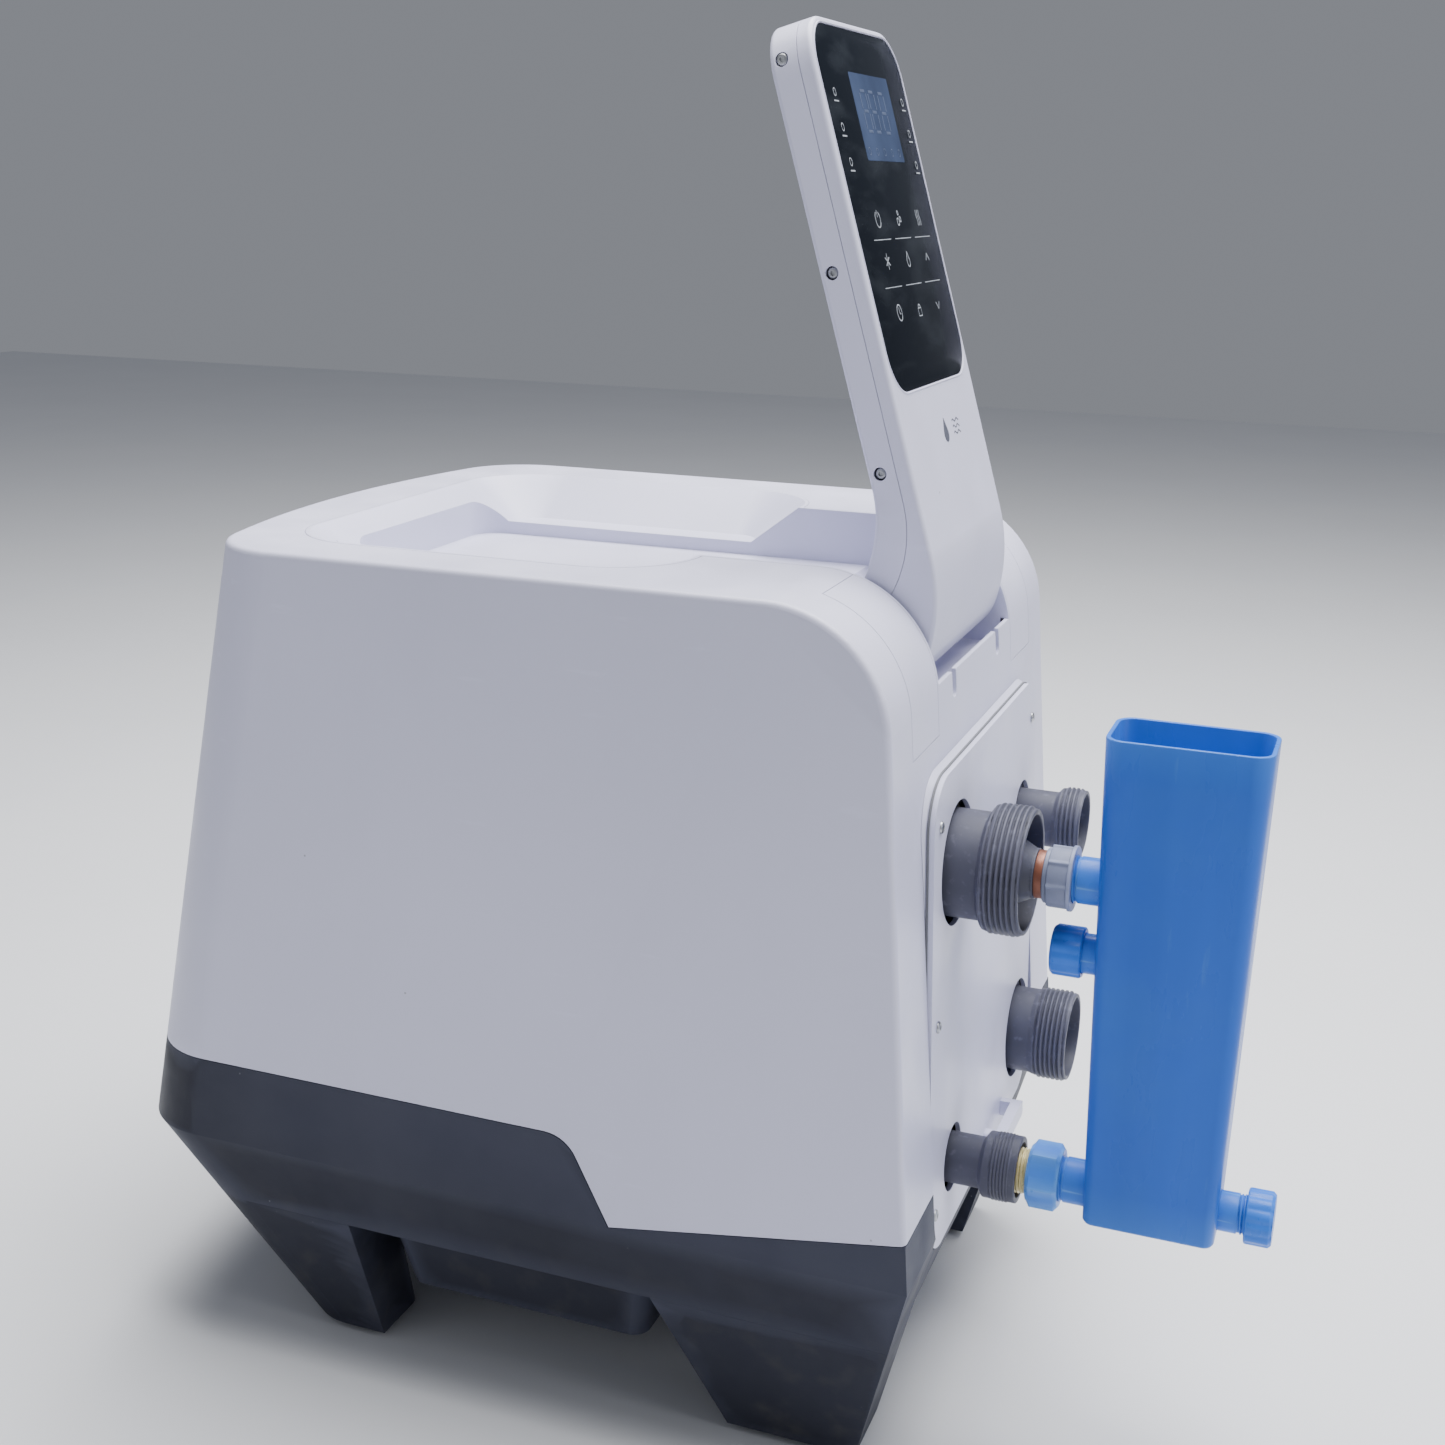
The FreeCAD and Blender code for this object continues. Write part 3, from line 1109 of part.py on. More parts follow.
def make_refrigeration():
    floor = S.undercut_height + S.tub_floor
    can_low = floor + S.mount_height
    shoulder = 16
    section = [(0, 0), (0, S.can_radius - 12), (12, S.can_radius), (S.can_height - shoulder, S.can_radius),
               (S.can_height, S.can_radius - shoulder), (S.can_height, 0)]
    node(turned("Can", section, "z", S.can_x, S.can_y, can_low + 0.1), "compressor")
    mounts = []
    for number in range(3):
        turn = math.radians(120 * number + 30)
        mounts.append(rod(f"Mount{number + 1}", "z", 11, S.mount_height, S.can_x + 34 * math.cos(turn),
                          S.can_y + 34 * math.sin(turn), floor + 0.05))
    node(group("Mounts", mounts), "compressor_mounts")
    coil_low = floor + 0.05
    coil = block("CoilBlock", (S.coil_low_x, S.coil_low_x + S.coil_length),
                 (S.coil_near_y, S.coil_near_y + S.coil_thick), (coil_low, coil_low + S.coil_height))
    gaps = []
    fin_pitch, fin_gap = 12, 7
    for fin in range(int(N.coil_length / fin_pitch) - 1):
        low = S.coil_low_x + 8 + fin * fin_pitch
        gaps.append(block(f"FinGap{fin + 1}", (low, low + fin_gap),
                          (S.coil_near_y + 8, S.coil_near_y + S.coil_thick + 1),
                          (coil_low + 22, coil_low + S.coil_height - 8)))
    node(cut("Coil", coil, gaps), "evaporator_coil")
    drum = [(0, 0), (0, S.condenser_radius - 14), (10, S.condenser_radius),
            (S.condenser_length - 8, S.condenser_radius), (S.condenser_length, S.condenser_radius - 6),
            (S.condenser_length, 0)]
    node(turned("Exchanger", drum, "x", S.condenser_x, S.condenser_y, S.condenser_z), "condenser")
    cradle = block("Cradle", (S.condenser_x + 60, S.condenser_x + 200), (S.condenser_y - 40, S.condenser_y + 40),
                   (floor + 0.05, S.condenser_z - 30))
    saddle = rod("Saddle", "x", S.condenser_radius + 0.3, S.condenser_length, S.condenser_x, S.condenser_y,
                 S.condenser_z)
    cradles.append(cut("CondenserCradle", cradle, [saddle]))
    top = N.condenser_z + N.condenser_radius + 0.3
    can_top = float(can_low) + N.can_height + 0.4
    line_z = can_top + 26
    valve_y = 124
    lines = [
        tube([(N.can_x, N.can_y, can_top), (N.can_x, N.can_y, line_z), (N.can_x, N.coil_near_y - 0.3, line_z)],
             N.line_radius, 12),
        tube([(-110, N.coil_near_y - 0.3, 322), (-110, valve_y + 12.3, 322)], N.line_radius, 12),
        tube([(-110, valve_y - 12.3, 322), (-110, N.condenser_y, 322), (-60, N.condenser_y, 322),
              (-60, N.condenser_y, top)], N.line_radius, 12),
    ]
    node(feature("Lines", Part.Compound(lines)), "refrigerant_lines")
    node(block("Valve", (-122, -98), (valve_y - 12, valve_y + 12), (308, 340)), "expansion_valve")


def make_fan():
    """Axial fan that blows out of the end wall, with its motor and post."""
    rotor = Part.makeCylinder(N.fan_hub, N.fan_depth - 6, Vector(), X_AXIS)
    for number in range(5):
        root = [Vector(4, N.fan_hub - 4, -16), Vector(24, N.fan_hub - 4, 14)]
        tip = [Vector(2, N.fan_radius, -44), Vector(26, N.fan_radius - 8, 34)]
        wires = [Part.makePolygon([a, b, b + Vector(3, 0, -1), a + Vector(3, 0, -1), a]) for a, b in (root, tip)]
        blade = Part.makeLoft(wires, True, True)
        blade.rotate(Vector(), X_AXIS, 72 * number)
        rotor = rotor.fuse(blade)
    rotor = rotor.cut(Part.makeCylinder(N.fan_shaft + N.running, 200, Vector(-50, 0, 0), X_AXIS))
    item = node(feature("Fan", rotor.removeSplitter()), "fan_rotor")
    put(item, S.fan_x, 0, S.fan_z)
    motor_x = S.fan_x + S.fan_depth + 4
    shaft_reach = S.fan_depth + 4 - 2
    motor = rod("FanMotorCan", "x", S.fan_motor_radius, S.fan_motor_length, motor_x, 0, S.fan_z)
    shaft = rod("FanShaft", "x", S.fan_shaft, shaft_reach + 4, motor_x - shaft_reach, 0, S.fan_z)
    node(fused("FanMotor", [motor, shaft]), "fan_motor")
    floor = S.undercut_height + S.tub_floor
    post = block("FanPost", (motor_x + 12, motor_x + 34), (-26, 26), (floor + 0.05, S.fan_z + 30))
    seat = rod("FanSeat", "x", S.fan_motor_radius + 0.3, 120, motor_x - 20, 0, S.fan_z)
    roof = block("FanPostRoof", (motor_x, motor_x + 60), (-60, 60), (S.fan_z, S.fan_z + 80))
    node(cut("FanPostCut", post, [seat, roof]), "fan_post")


def rotor_wheel(name, label, radius, length, vanes, x, y, z, bore):
    """Hub, back plate and straight vanes round it."""
    hub = Part.makeCylinder(radius * 0.3, length, Vector(), X_AXIS)
    wheel = Part.makeCylinder(radius, 2.5, Vector(), X_AXIS).fuse(hub)
    for number in range(vanes):
        vane = side_box((0, length), (radius * 0.25, radius - 1), (-1, 1))
        vane.rotate(Vector(), X_AXIS, 360 * number / vanes)
        wheel = wheel.fuse(vane)
    wheel = wheel.cut(Part.makeCylinder(bore, 200, Vector(-50, 0, 0), X_AXIS))
    item = node(feature(name, wheel.removeSplitter()), label)
    return put(item, x, y, z)


def make_pump():
    low = S.pump_x
    chamber = rod("PumpShell", "x", S.pump_radius, S.pump_length, low, S.near_y, S.small_z)
    room = rod("PumpRoom", "x", S.pump_rotor + 4, S.pump_length - 24, low + 8, S.near_y, S.small_z)
    inlet = rod("PumpInlet", "x", S.small_bore - S.hose_wall, 40, low + S.pump_length - 20, S.near_y, S.small_z)
    shaft_way = rod("PumpShaftWay", "x", 6, 20, low - 5, S.near_y, S.small_z)
    outlet = rod("PumpOutlet", "z", 12, 60, low + 22, S.near_y, S.small_z + 20)
    node(cut("Pump", chamber, [room, inlet, shaft_way, outlet]), "pump_housing")
    rotor_wheel("Impeller", "pump_impeller", N.pump_rotor, 20, 6, S.pump_x + 12, S.near_y, S.small_z,
                4 + N.running)
    can = rod("PumpMotorCan", "x", S.pump_motor_radius, S.pump_motor_length, low - S.pump_motor_length - 0.3,
              S.near_y, S.small_z)
    shaft = rod("PumpShaft", "x", 4, 50, low - 16, S.near_y, S.small_z)
    node(fused("PumpMotor", [can, shaft]), "pump_motor")
    floor = S.undercut_height + S.tub_floor
    foot = block("PumpFootBlock", (low - S.pump_motor_length + 10, low - 20), (S.near_y - 30, S.near_y + 30),
                 (floor + 0.05, S.small_z - 20))
    seat = rod("PumpSeat", "x", S.pump_motor_radius + 0.3, 200, low - S.pump_motor_length - 20,
               S.near_y, S.small_z)
    cradles.append(cut("PumpFoot", foot, [seat]))


def make_blower():
    low = S.blower_x
    drum = rod("BlowerDrum", "x", S.blower_radius, S.blower_length, low, S.near_y, S.big_z)
    room = rod("BlowerRoom", "x", S.blower_rotor + 8, S.blower_length - 8, low + 4, S.near_y, S.big_z)
    mouth = rod("BlowerMouth", "x", S.big_bore - S.hose_wall, 40, low + S.blower_length - 20, S.near_y, S.big_z)
    shaft_way = rod("BlowerShaftWay", "x", 7, 20, low - 5, S.near_y, S.big_z)
    node(cut("Blower", drum, [room, mouth, shaft_way]), "blower_housing")
    rotor_wheel("BlowerWheel", "blower_rotor", N.blower_rotor, 52, 16, S.blower_x + 12, S.near_y, S.big_z,
                5 + N.running)
    can = rod("BlowerMotorCan", "x", S.blower_motor_radius, S.blower_motor_length,
              low - S.blower_motor_length - 0.3, S.near_y, S.big_z)
    shaft = rod("BlowerShaft", "x", 5, 80, low - 16, S.near_y, S.big_z)
    node(fused("BlowerMotor", [can, shaft]), "blower_motor")
    floor = S.undercut_height + S.tub_floor
    post = block("BlowerPostBlock", (low - 40, low - 16), (S.near_y - 44, S.near_y + 44),
                 (floor + 0.05, S.big_z - 12))
    seat = rod("BlowerSeat", "x", S.blower_motor_radius + 0.3, 200, low - 100, S.near_y, S.big_z)
    clear = rod("BlowerPostWay", "x", S.pump_motor_radius + 6, 200, low - 100, S.near_y, S.small_z)
    base = block("BlowerPostGap", (low - 60, low + 20), (S.near_y - 60, S.near_y + 60), (floor - 5, S.small_z))
    cradles.append(cut("BlowerPost", post, [seat, clear, base]))


def make_hoses():
    root = N.tail_root - 0.3
    pump_end = N.pump_x + N.pump_length + 0.3
    blower_end = N.blower_x + N.blower_length + 0.3
    condenser_end = N.condenser_x + N.condenser_length + 0.3
    top = N.condenser_z + N.condenser_radius + 0.3
    far_top = float(S.far_top_y)
    runs = [
        hose([(pump_end, N.near_y, N.small_z), (root, N.near_y, N.small_z)], N.small_bore + N.hose_wall, 10),
        hose([(blower_end, N.near_y, N.big_z), (root, N.near_y, N.big_z)], N.big_bore + N.hose_wall, 10),
        hose([(condenser_end, N.far_low_y, N.drain_z), (root, N.far_low_y, N.drain_z)], N.drain_bore, 10),
        hose([(root, far_top, N.filter_z), (164, far_top, N.filter_z), (164, far_top, top)], 16, 30),
        hose([(N.pump_x + 22, N.near_y, N.small_z + N.pump_radius + 0.5), (N.pump_x + 22, N.near_y, 312),
              (N.pump_x - 60, N.condenser_y, 318), (N.pump_x - 60, N.condenser_y, top)], 13, 20),
    ]
    node(feature("Hoses", Part.Compound(runs)), "inner_hoses")


def make_electrics():
    x = (S.box_x, S.box_x + S.box_length)
    y = (S.box_y, S.box_y + S.box_width)
    z = (S.box_low, S.box_low + S.box_height)
    wall = S.box_wall
    case = block("CaseBlock", x, y, z)
    room = block("CaseRoom", (x[0] + wall, x[1] - wall), (y[0] + wall, y[1] - wall), (z[0] + wall, z[1] + 1))
    node(cut("Case", case, [room]), "control_box")
    lid = block("CaseLid", (x[0] - 1, x[1] + 1), (y[0] - 1, y[1] + 1), (z[1] + 0.05, z[1] + 3))
    node(lid, "control_box_lid")
    board_low = z[0] + 12
    board = block("MainBoardSheet", (x[0] + 8, x[1] - 8), (y[0] + 8, y[1] - 8), (board_low, board_low + S.board_thick))
    spots = ((20, 20, 34, 16), (70, 24, 22, 10), (120, 60, 40, 22), (30, 66, 26, 26), (150, 20, 18, 30))
    chips = []
    for number, (along, across, width, height) in enumerate(spots, start=1):
        left, near = x[0] + along, y[0] + across
        chips.append(block(f"Chip{number}", (left, left + width), (near, near + 20),
                           (board_low, board_low + S.board_thick + height)))
    node(fused("MainBoard", [board] + chips), "control_board")
    slack = N.gland_radius * N.end_lean + N.fit_gap
    end_x = end_face_x(N.gland_z) + N.gland_y ** 2 / (2 * N.end_bow) - slack
    node(turned("Gland", [(0, 5), (0, S.gland_radius - 3), (9, S.gland_radius), (14, S.gland_radius),
                          (14, 7.7), (30, 7.7), (30, 5)], "x", end_x - 14, S.gland_y, S.gland_z), "cable_gland")


# ---------------------------------------------------------------- build, check and write

def check_and_write():
    doc.recompute()
    bad = [item.Name for item in doc.Objects if "Invalid" in item.State or "Error" in item.State]
    if bad:
        raise RuntimeError("objects failed: " + "; ".join(bad))
    box = FreeCAD.BoundBox()
    for item in nodes:
        if item.Shape.isNull() or not item.Shape.isValid() or not item.Shape.Solids:
            raise RuntimeError(f"{item.Label} has no valid solid")
        box.add(item.Shape.optimalBoundingBox(False, False))
    shift = Vector(-box.Center.x, -box.Center.y, -box.ZMin)
    os.makedirs("parts", exist_ok=True)
    for item in nodes:
        placed = item.Shape.copy()
        placed.translate(shift)
        placed.exportStep(f"parts/{item.Label}.step")
    print(f"{len(nodes)} pieces, box {box.XLength:.1f} x {box.YLength:.1f} x {box.ZLength:.1f} mm,",
          f"shift ({shift.x:.3f}, {shift.y:.3f}, {shift.z:.3f})")


make_housing()
make_ports()
make_arm()
make_vessel()
make_refrigeration()
make_fan()
make_pump()
make_blower()
node(group("Cradles", cradles), "equipment_cradles")
make_hoses()
make_electrics()
check_and_write()
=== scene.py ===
"""Pool heat pump unit: visual pieces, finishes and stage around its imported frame.

Lengths are in metres, in the frame of the CAD: X out of the port face, Y away from the near side, Z up.
Places come from the boxes of the CAD nodes and from the record's joints.
"""

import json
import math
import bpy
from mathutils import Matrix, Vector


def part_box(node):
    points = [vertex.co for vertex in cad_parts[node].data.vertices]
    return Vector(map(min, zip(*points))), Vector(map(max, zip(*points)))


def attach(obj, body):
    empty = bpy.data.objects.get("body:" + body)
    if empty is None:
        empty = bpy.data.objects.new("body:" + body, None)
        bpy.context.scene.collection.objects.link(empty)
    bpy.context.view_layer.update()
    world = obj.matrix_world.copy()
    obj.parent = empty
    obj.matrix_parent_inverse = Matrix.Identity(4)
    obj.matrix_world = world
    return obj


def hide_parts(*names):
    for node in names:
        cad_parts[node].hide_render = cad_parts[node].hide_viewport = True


bl_info = {
    "name": "Pool Heat Pump Unit",
    "version": (1, 0, 0),
    "blender": (4, 5, 0),
    "location": "View3D > Sidebar > Heat Pump",
    "description": "Builds the visible pieces of a pool heat pump unit around its fixed frame",
    "category": "Object",
}

import bmesh
import bpy
from bpy.props import FloatProperty, FloatVectorProperty, IntProperty, PointerProperty
from mathutils import Matrix, Vector

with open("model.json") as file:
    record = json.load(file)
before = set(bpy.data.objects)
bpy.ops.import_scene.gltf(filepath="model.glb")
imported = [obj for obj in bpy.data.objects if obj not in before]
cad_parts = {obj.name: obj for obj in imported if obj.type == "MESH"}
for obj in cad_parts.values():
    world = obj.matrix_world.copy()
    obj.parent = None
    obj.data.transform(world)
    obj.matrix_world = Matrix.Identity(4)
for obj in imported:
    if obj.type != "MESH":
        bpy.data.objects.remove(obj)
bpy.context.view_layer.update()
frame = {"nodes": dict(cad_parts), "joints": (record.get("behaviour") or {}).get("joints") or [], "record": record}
HINGE = frame["joints"][0]
HINGE_PLACE = Vector(HINGE["pos_m"])
ARM_LEAN = math.pi / 2 - math.radians(HINGE["range_deg"][1])
OPENINGS = {opening["name"]: opening for opening in frame["record"]["physics"]["openings"]}


# ---------------------------------------------------------------- sizes and colours a user may change

def colour(name, description, default):
    return FloatVectorProperty(name=name, description=description, subtype="COLOR", size=3,
                               min=0.0, max=1.0, default=default)


def length(name, description, default):
    return FloatProperty(name=name, description=description, unit="LENGTH", min=0.0,
                         precision=5, default=default)


class HeatPumpColours(bpy.types.PropertyGroup):
    shell: colour("Shell", "Moulded housing, tray, plate and arm", (0.615, 0.615, 0.770))
    base: colour("Base", "Tub, pan and legs", (0.024, 0.026, 0.038))
    tail: colour("Hose tails", "Threaded hose tails", (0.070, 0.072, 0.098))
    vessel: colour("Vessel", "Tapered dosing vessel", (0.022, 0.118, 0.540))
    fitting: colour("Fittings", "Hex nut, caps and stubs", (0.030, 0.170, 0.680))
    nut: colour("Union nut", "Ribbed nut on the upper stub", (0.200, 0.225, 0.330))
    copper: colour("Ring", "Ring between reducer and union nut", (0.300, 0.110, 0.070))
    brass: colour("Nipple", "Threaded nipple under the lower stub", (0.840, 0.740, 0.400))
    glass: colour("Display", "Cover of the display", (0.006, 0.008, 0.012))
    lcd: colour("Screen", "Unlit liquid crystal screen", (0.030, 0.042, 0.078))
    print_ink: colour("Print", "Symbols printed on the display", (0.42, 0.45, 0.50))
    mark: colour("Mark", "Plain droplet mark on the arm", (0.090, 0.095, 0.130))
    steel: colour("Steel", "Screws, pin and brackets", (0.480, 0.490, 0.510))
    rubber: colour("Rubber", "Feet, seals and mounts", (0.016, 0.016, 0.018))


class HeatPumpSizes(bpy.types.PropertyGroup):
    fine_edge: length("Fine edge", "Rounding of small parts' edges", 0.0005)
    thread_pitch: length("Tail thread pitch", "Pitch of the hose tails' threads", 0.0036)
    thread_depth: length("Tail thread depth", "Depth of the hose tails' threads", 0.0015)
    stub_pitch: length("Stub thread pitch", "Pitch of the vessel stubs' threads", 0.0023)
    stub_depth: length("Stub thread depth", "Depth of the vessel stubs' threads", 0.0011)
    stub_radius: length("Stub radius", "Crest radius of the one-inch stubs", 0.0154)
    cap_stub_radius: length("Cap stub radius", "Crest radius of the stubs under the caps", 0.0132)
    cap_ribs: IntProperty(name="Cap ribs", description="Grip ribs round a screw cap",
                          min=6, max=48, default=12)
    nut_ribs: IntProperty(name="Nut ribs", description="Grip ribs round the union nut",
                          min=4, max=16, default=8)
    plate_lean: FloatProperty(name="Plate lean", description="Lean of the port plate from upright",
                              subtype="ANGLE", default=math.radians(1.9))
    plate_screw: length("Plate screw", "Head radius of the port plate's screws", 0.0040)
    arm_front: length("Arm front", "Distance of the arm's front face from the hinge plane", 0.0465)
    arm_screw_out: length("Arm screw place", "Distance of the side screws from the hinge plane", 0.0260)
    arm_screw_first: length("First arm screw", "Height of the lowest side screw along the arm", 0.1060)
    arm_screw_second: length("Second arm screw", "Height of the middle side screw along the arm", 0.2330)
    arm_screw_third: length("Third arm screw", "Height of the top side screw along the arm", 0.3630)
    glass_low: length("Display foot", "Start of the display along the arm", 0.1510)
    glass_high: length("Display head", "End of the display along the arm", 0.3810)
    glass_corner: length("Display corner", "Corner radius of the display", 0.0270)
    screen_low: length("Screen foot", "Start of the screen along the arm", 0.2975)
    screen_high: length("Screen height", "Height of the screen", 0.0560)
    screen_wide: length("Screen width", "Width of the screen", 0.0860)
    screen_across: FloatProperty(name="Screen offset", description="Offset of the screen across the arm",
                                 unit="LENGTH", default=0.0090)
    mark_along: length("Mark", "Place of the droplet mark along the arm", 0.1180)
    vessel_long: length("Vessel length", "Longer width of the vessel's mouth", 0.1020)
    vessel_taper_long: length("Vessel taper", "Draw-in of each end by the foot", 0.0084)
    vessel_taper_wide: length("Vessel side taper", "Draw-in of each side by the foot", 0.0042)
    vessel_corner: length("Vessel corner", "Corner radius of the vessel's mouth", 0.0125)
    vessel_wall: length("Vessel wall", "Wall thickness of the vessel", 0.0030)


class HeatPumpStage(bpy.types.PropertyGroup):
    camera_place: FloatVectorProperty(name="Camera",
                                      description="Place of the camera from the middle of the ground",
                                      subtype="TRANSLATION", unit="LENGTH", size=3,
                                      default=(0.45139, -1.20961, 0.83895))
    camera_yaw: FloatProperty(name="Yaw", description="Turn of the camera from straight at the near side",
                              subtype="ANGLE", default=math.radians(20.701))
    camera_pitch: FloatProperty(name="Pitch", description="How far the camera looks down",
                                subtype="ANGLE", default=math.radians(15.941))
    camera_roll: FloatProperty(name="Roll", description="Turn of the camera about its own view line",
                               subtype="ANGLE", default=math.radians(0.921))
    camera_lens: FloatProperty(name="Lens", description="Focal length on a 36 mm sensor, in millimetres",
                               min=10.0, default=45.91)
    floor_reach: length("Floor", "Half width of the floor", 6.0)


# ---------------------------------------------------------------- finishes

class Finish:
    """A finish in the making: its shader and short ways to add texture to it."""

    def __init__(self, name, base, roughness, **sockets):
        self.material = bpy.data.materials.new(name)
        self.material.use_nodes = True
        self.material.diffuse_color = (*base, 1.0)
        self.tree = self.material.node_tree
        self.shader = self.tree.nodes["Principled BSDF"]
        self.shader.inputs["Base Color"].default_value = (*base, 1.0)
        self.shader.inputs["Roughness"].default_value = roughness
        for socket, value in sockets.items():
            self.shader.inputs[socket.replace("_", " ")].default_value = value
        self.place = self.add("ShaderNodeTexCoord").outputs["Object"]
        self.paint = None
        soft = self.add("ShaderNodeBevel", samples=4)
        soft.inputs["Radius"].default_value = 0.0007
        self.relief = soft.outputs["Normal"]

    def add(self, kind, **settings):
        node = self.tree.nodes.new(kind)
        for key, value in settings.items():
            setattr(node, key, value)
        return node

    def join(self, source, target):
        self.tree.links.new(source, target)

    def stretched(self, stretch):
        mapping = self.add("ShaderNodeMapping")
        mapping.inputs["Scale"].default_value = stretch
        self.join(self.place, mapping.inputs["Vector"])
        return mapping.outputs["Vector"]

    def noise(self, scale, detail=4.0, stretch=(1.0, 1.0, 1.0)):
        texture = self.add("ShaderNodeTexNoise")
        texture.inputs["Scale"].default_value = scale
        texture.inputs["Detail"].default_value = detail
        self.join(self.stretched(stretch), texture.inputs["Vector"])
        return texture.outputs["Fac"]

    def cells(self, scale, feature="F1", stretch=(1.0, 1.0, 1.0)):
        texture = self.add("ShaderNodeTexVoronoi", feature=feature)
        texture.inputs["Scale"].default_value = scale
        self.join(self.stretched(stretch), texture.inputs["Vector"])
        return texture.outputs["Distance"]

    def bands(self, scale, direction, distortion=0.0):
        texture = self.add("ShaderNodeTexWave", bands_direction=direction)
        texture.inputs["Scale"].default_value = scale
        texture.inputs["Distortion"].default_value = distortion
        self.join(self.place, texture.inputs["Vector"])
        return texture.outputs["Fac"]

    def between(self, source, low, high, start=0.0, end=1.0):
        """Map a range of a source to another range, held at its ends."""
        node = self.add("ShaderNodeMapRange", clamp=True)
        for socket, value in (("From Min", low), ("From Max", high), ("To Min", start), ("To Max", end)):
            node.inputs[socket].default_value = value
        self.join(source, node.inputs["Value"])
        return node.outputs["Result"]

    def times(self, first, second):
        node = self.add("ShaderNodeMath", operation="MULTIPLY")
        for socket, value in zip(node.inputs, (first, second)):
            if isinstance(value, float):
                socket.default_value = value
            else:
                self.join(value, socket)
        return node.outputs["Value"]

    def height(self):
        split = self.add("ShaderNodeSeparateXYZ")
        self.join(self.place, split.inputs["Vector"])
        return split.outputs["Z"]

    def edges(self, low=0.52, high=0.58):
        """Convex edges, where handling wears a surface."""
        return self.between(self.add("ShaderNodeNewGeometry").outputs["Pointiness"], low, high)

    def tint(self, share, shade, blend="MIX"):
        """Lay another colour over the base colour, as far as the share says."""
        node = self.add("ShaderNodeMix", data_type="RGBA", blend_type=blend)
        node.inputs[7].default_value = (*shade, 1.0)
        if self.paint is None:
            node.inputs[6].default_value = self.shader.inputs["Base Color"].default_value
        else:
            self.join(self.paint, node.inputs[6])
        self.join(share, node.inputs[0])
        self.paint = node.outputs[2]
        self.join(self.paint, self.shader.inputs["Base Color"])

    def polish(self, source, low, high):
        """Let the roughness run between two values."""
        self.join(self.between(source, 0.3, 0.7, low, high), self.shader.inputs["Roughness"])

    def bump(self, source, depth, strength=1.0):
        """Press a texture into the surface, on top of the earlier ones."""
        node = self.add("ShaderNodeBump")
        node.inputs["Strength"].default_value = strength
        node.inputs["Distance"].default_value = depth
        self.join(source, node.inputs["Height"])
        self.join(self.relief, node.inputs["Normal"])
        self.relief = node.outputs["Normal"]
        self.join(self.relief, self.shader.inputs["Normal"])

    def cloud(self, scale, detail, low, high, share, shade, stretch=(1.0, 1.0, 1.0)):
        """Lay a shade over patches of noise."""
        self.tint(self.between(self.noise(scale, detail, stretch), low, high, 0.0, share), shade)

    def wear(self, share, shade):
        """Lay a shade over the edges."""
        self.tint(self.times(self.edges(), share), shade)

    def sheen(self, scale, detail, low, high, stretch=(1.0, 1.0, 1.0)):
        """Let the roughness follow noise."""
        self.polish(self.noise(scale, detail, stretch), low, high)

    def grain(self, scale, detail, depth, strength, stretch=(1.0, 1.0, 1.0)):
        """Press noise into the surface."""
        self.bump(self.noise(scale, detail, stretch), depth, strength)


def lighter(shade, factor):
    return tuple(min(1.0, part * factor) for part in shade)


def shell_finish(base):
    """Satin moulded housing plastic: fine spark-eroded grain, faint cloudiness, dust and small scuffs."""
    finish = Finish("shell_plastic", base, 0.36, Specular_IOR_Level=0.45)
    finish.cloud(5.0, 3.0, 0.35, 0.75, 0.5, lighter(base, 1.07))
    finish.cloud(17.0, 5.0, 0.55, 0.8, 0.22, lighter(base, 0.86), (1.0, 1.0, 0.25))
    specks = finish.between(finish.cells(34.0), 0.035, 0.02)
    finish.tint(finish.times(specks, finish.between(finish.noise(9.0), 0.56, 0.6)), lighter(base, 0.35))
    scuffs = finish.between(finish.noise(60.0, 6.0, (0.25, 1.0, 1.3)), 0.66, 0.72, 0.0, 0.3)
    finish.tint(scuffs, lighter(base, 1.18))
    finish.wear(0.35, lighter(base, 1.2))
    finish.sheen(24.0, 6.0, 0.30, 0.46)
    finish.grain(2600.0, 2.0, 0.00005, 0.5)
    finish.grain(380.0, 3.0, 0.00008, 0.35)
    finish.grain(6.0, 2.0, 0.0008, 0.12)
    return finish.material


def base_finish(base):
    """Coarser grained dark plastic with soil splashed up the feet and paler rubbed edges."""
    finish = Finish("base_plastic", base, 0.56, Specular_IOR_Level=0.16)
    finish.cloud(8.0, 4.0, 0.35, 0.7, 0.5, lighter(base, 1.5))
    splash = finish.between(finish.height(), 0.16, 0.0)
    soil = finish.times(splash, finish.between(finish.noise(45.0, 8.0), 0.52, 0.74, 0.0, 0.3))
    finish.tint(soil, (0.11, 0.10, 0.085))
    finish.wear(0.5, lighter(base, 3.2))
    specks = finish.between(finish.cells(60.0), 0.05, 0.02)
    finish.tint(finish.times(specks, finish.between(finish.noise(11.0), 0.52, 0.58)), (0.25, 0.26, 0.28))
    finish.sheen(20.0, 6.0, 0.42, 0.66)
    finish.bump(finish.cells(1100.0), 0.00012, 0.5)
    finish.grain(260.0, 4.0, 0.00015, 0.4)
    return finish.material


def tail_finish(base):
    """Glass-filled nylon: cloudy flow marks and dust caught in the thread."""
    finish = Finish("tail_plastic", base, 0.48, Specular_IOR_Level=0.25)
    finish.cloud(30.0, 5.0, 0.35, 0.7, 0.6, lighter(base, 1.55))
    finish.cloud(160.0, 6.0, 0.58, 0.72, 0.5, lighter(base, 2.4))
    finish.wear(0.45, lighter(base, 2.6))
    finish.sheen(70.0, 5.0, 0.36, 0.6)
    finish.grain(1500.0, 3.0, 0.00006, 0.5)
    return finish.material


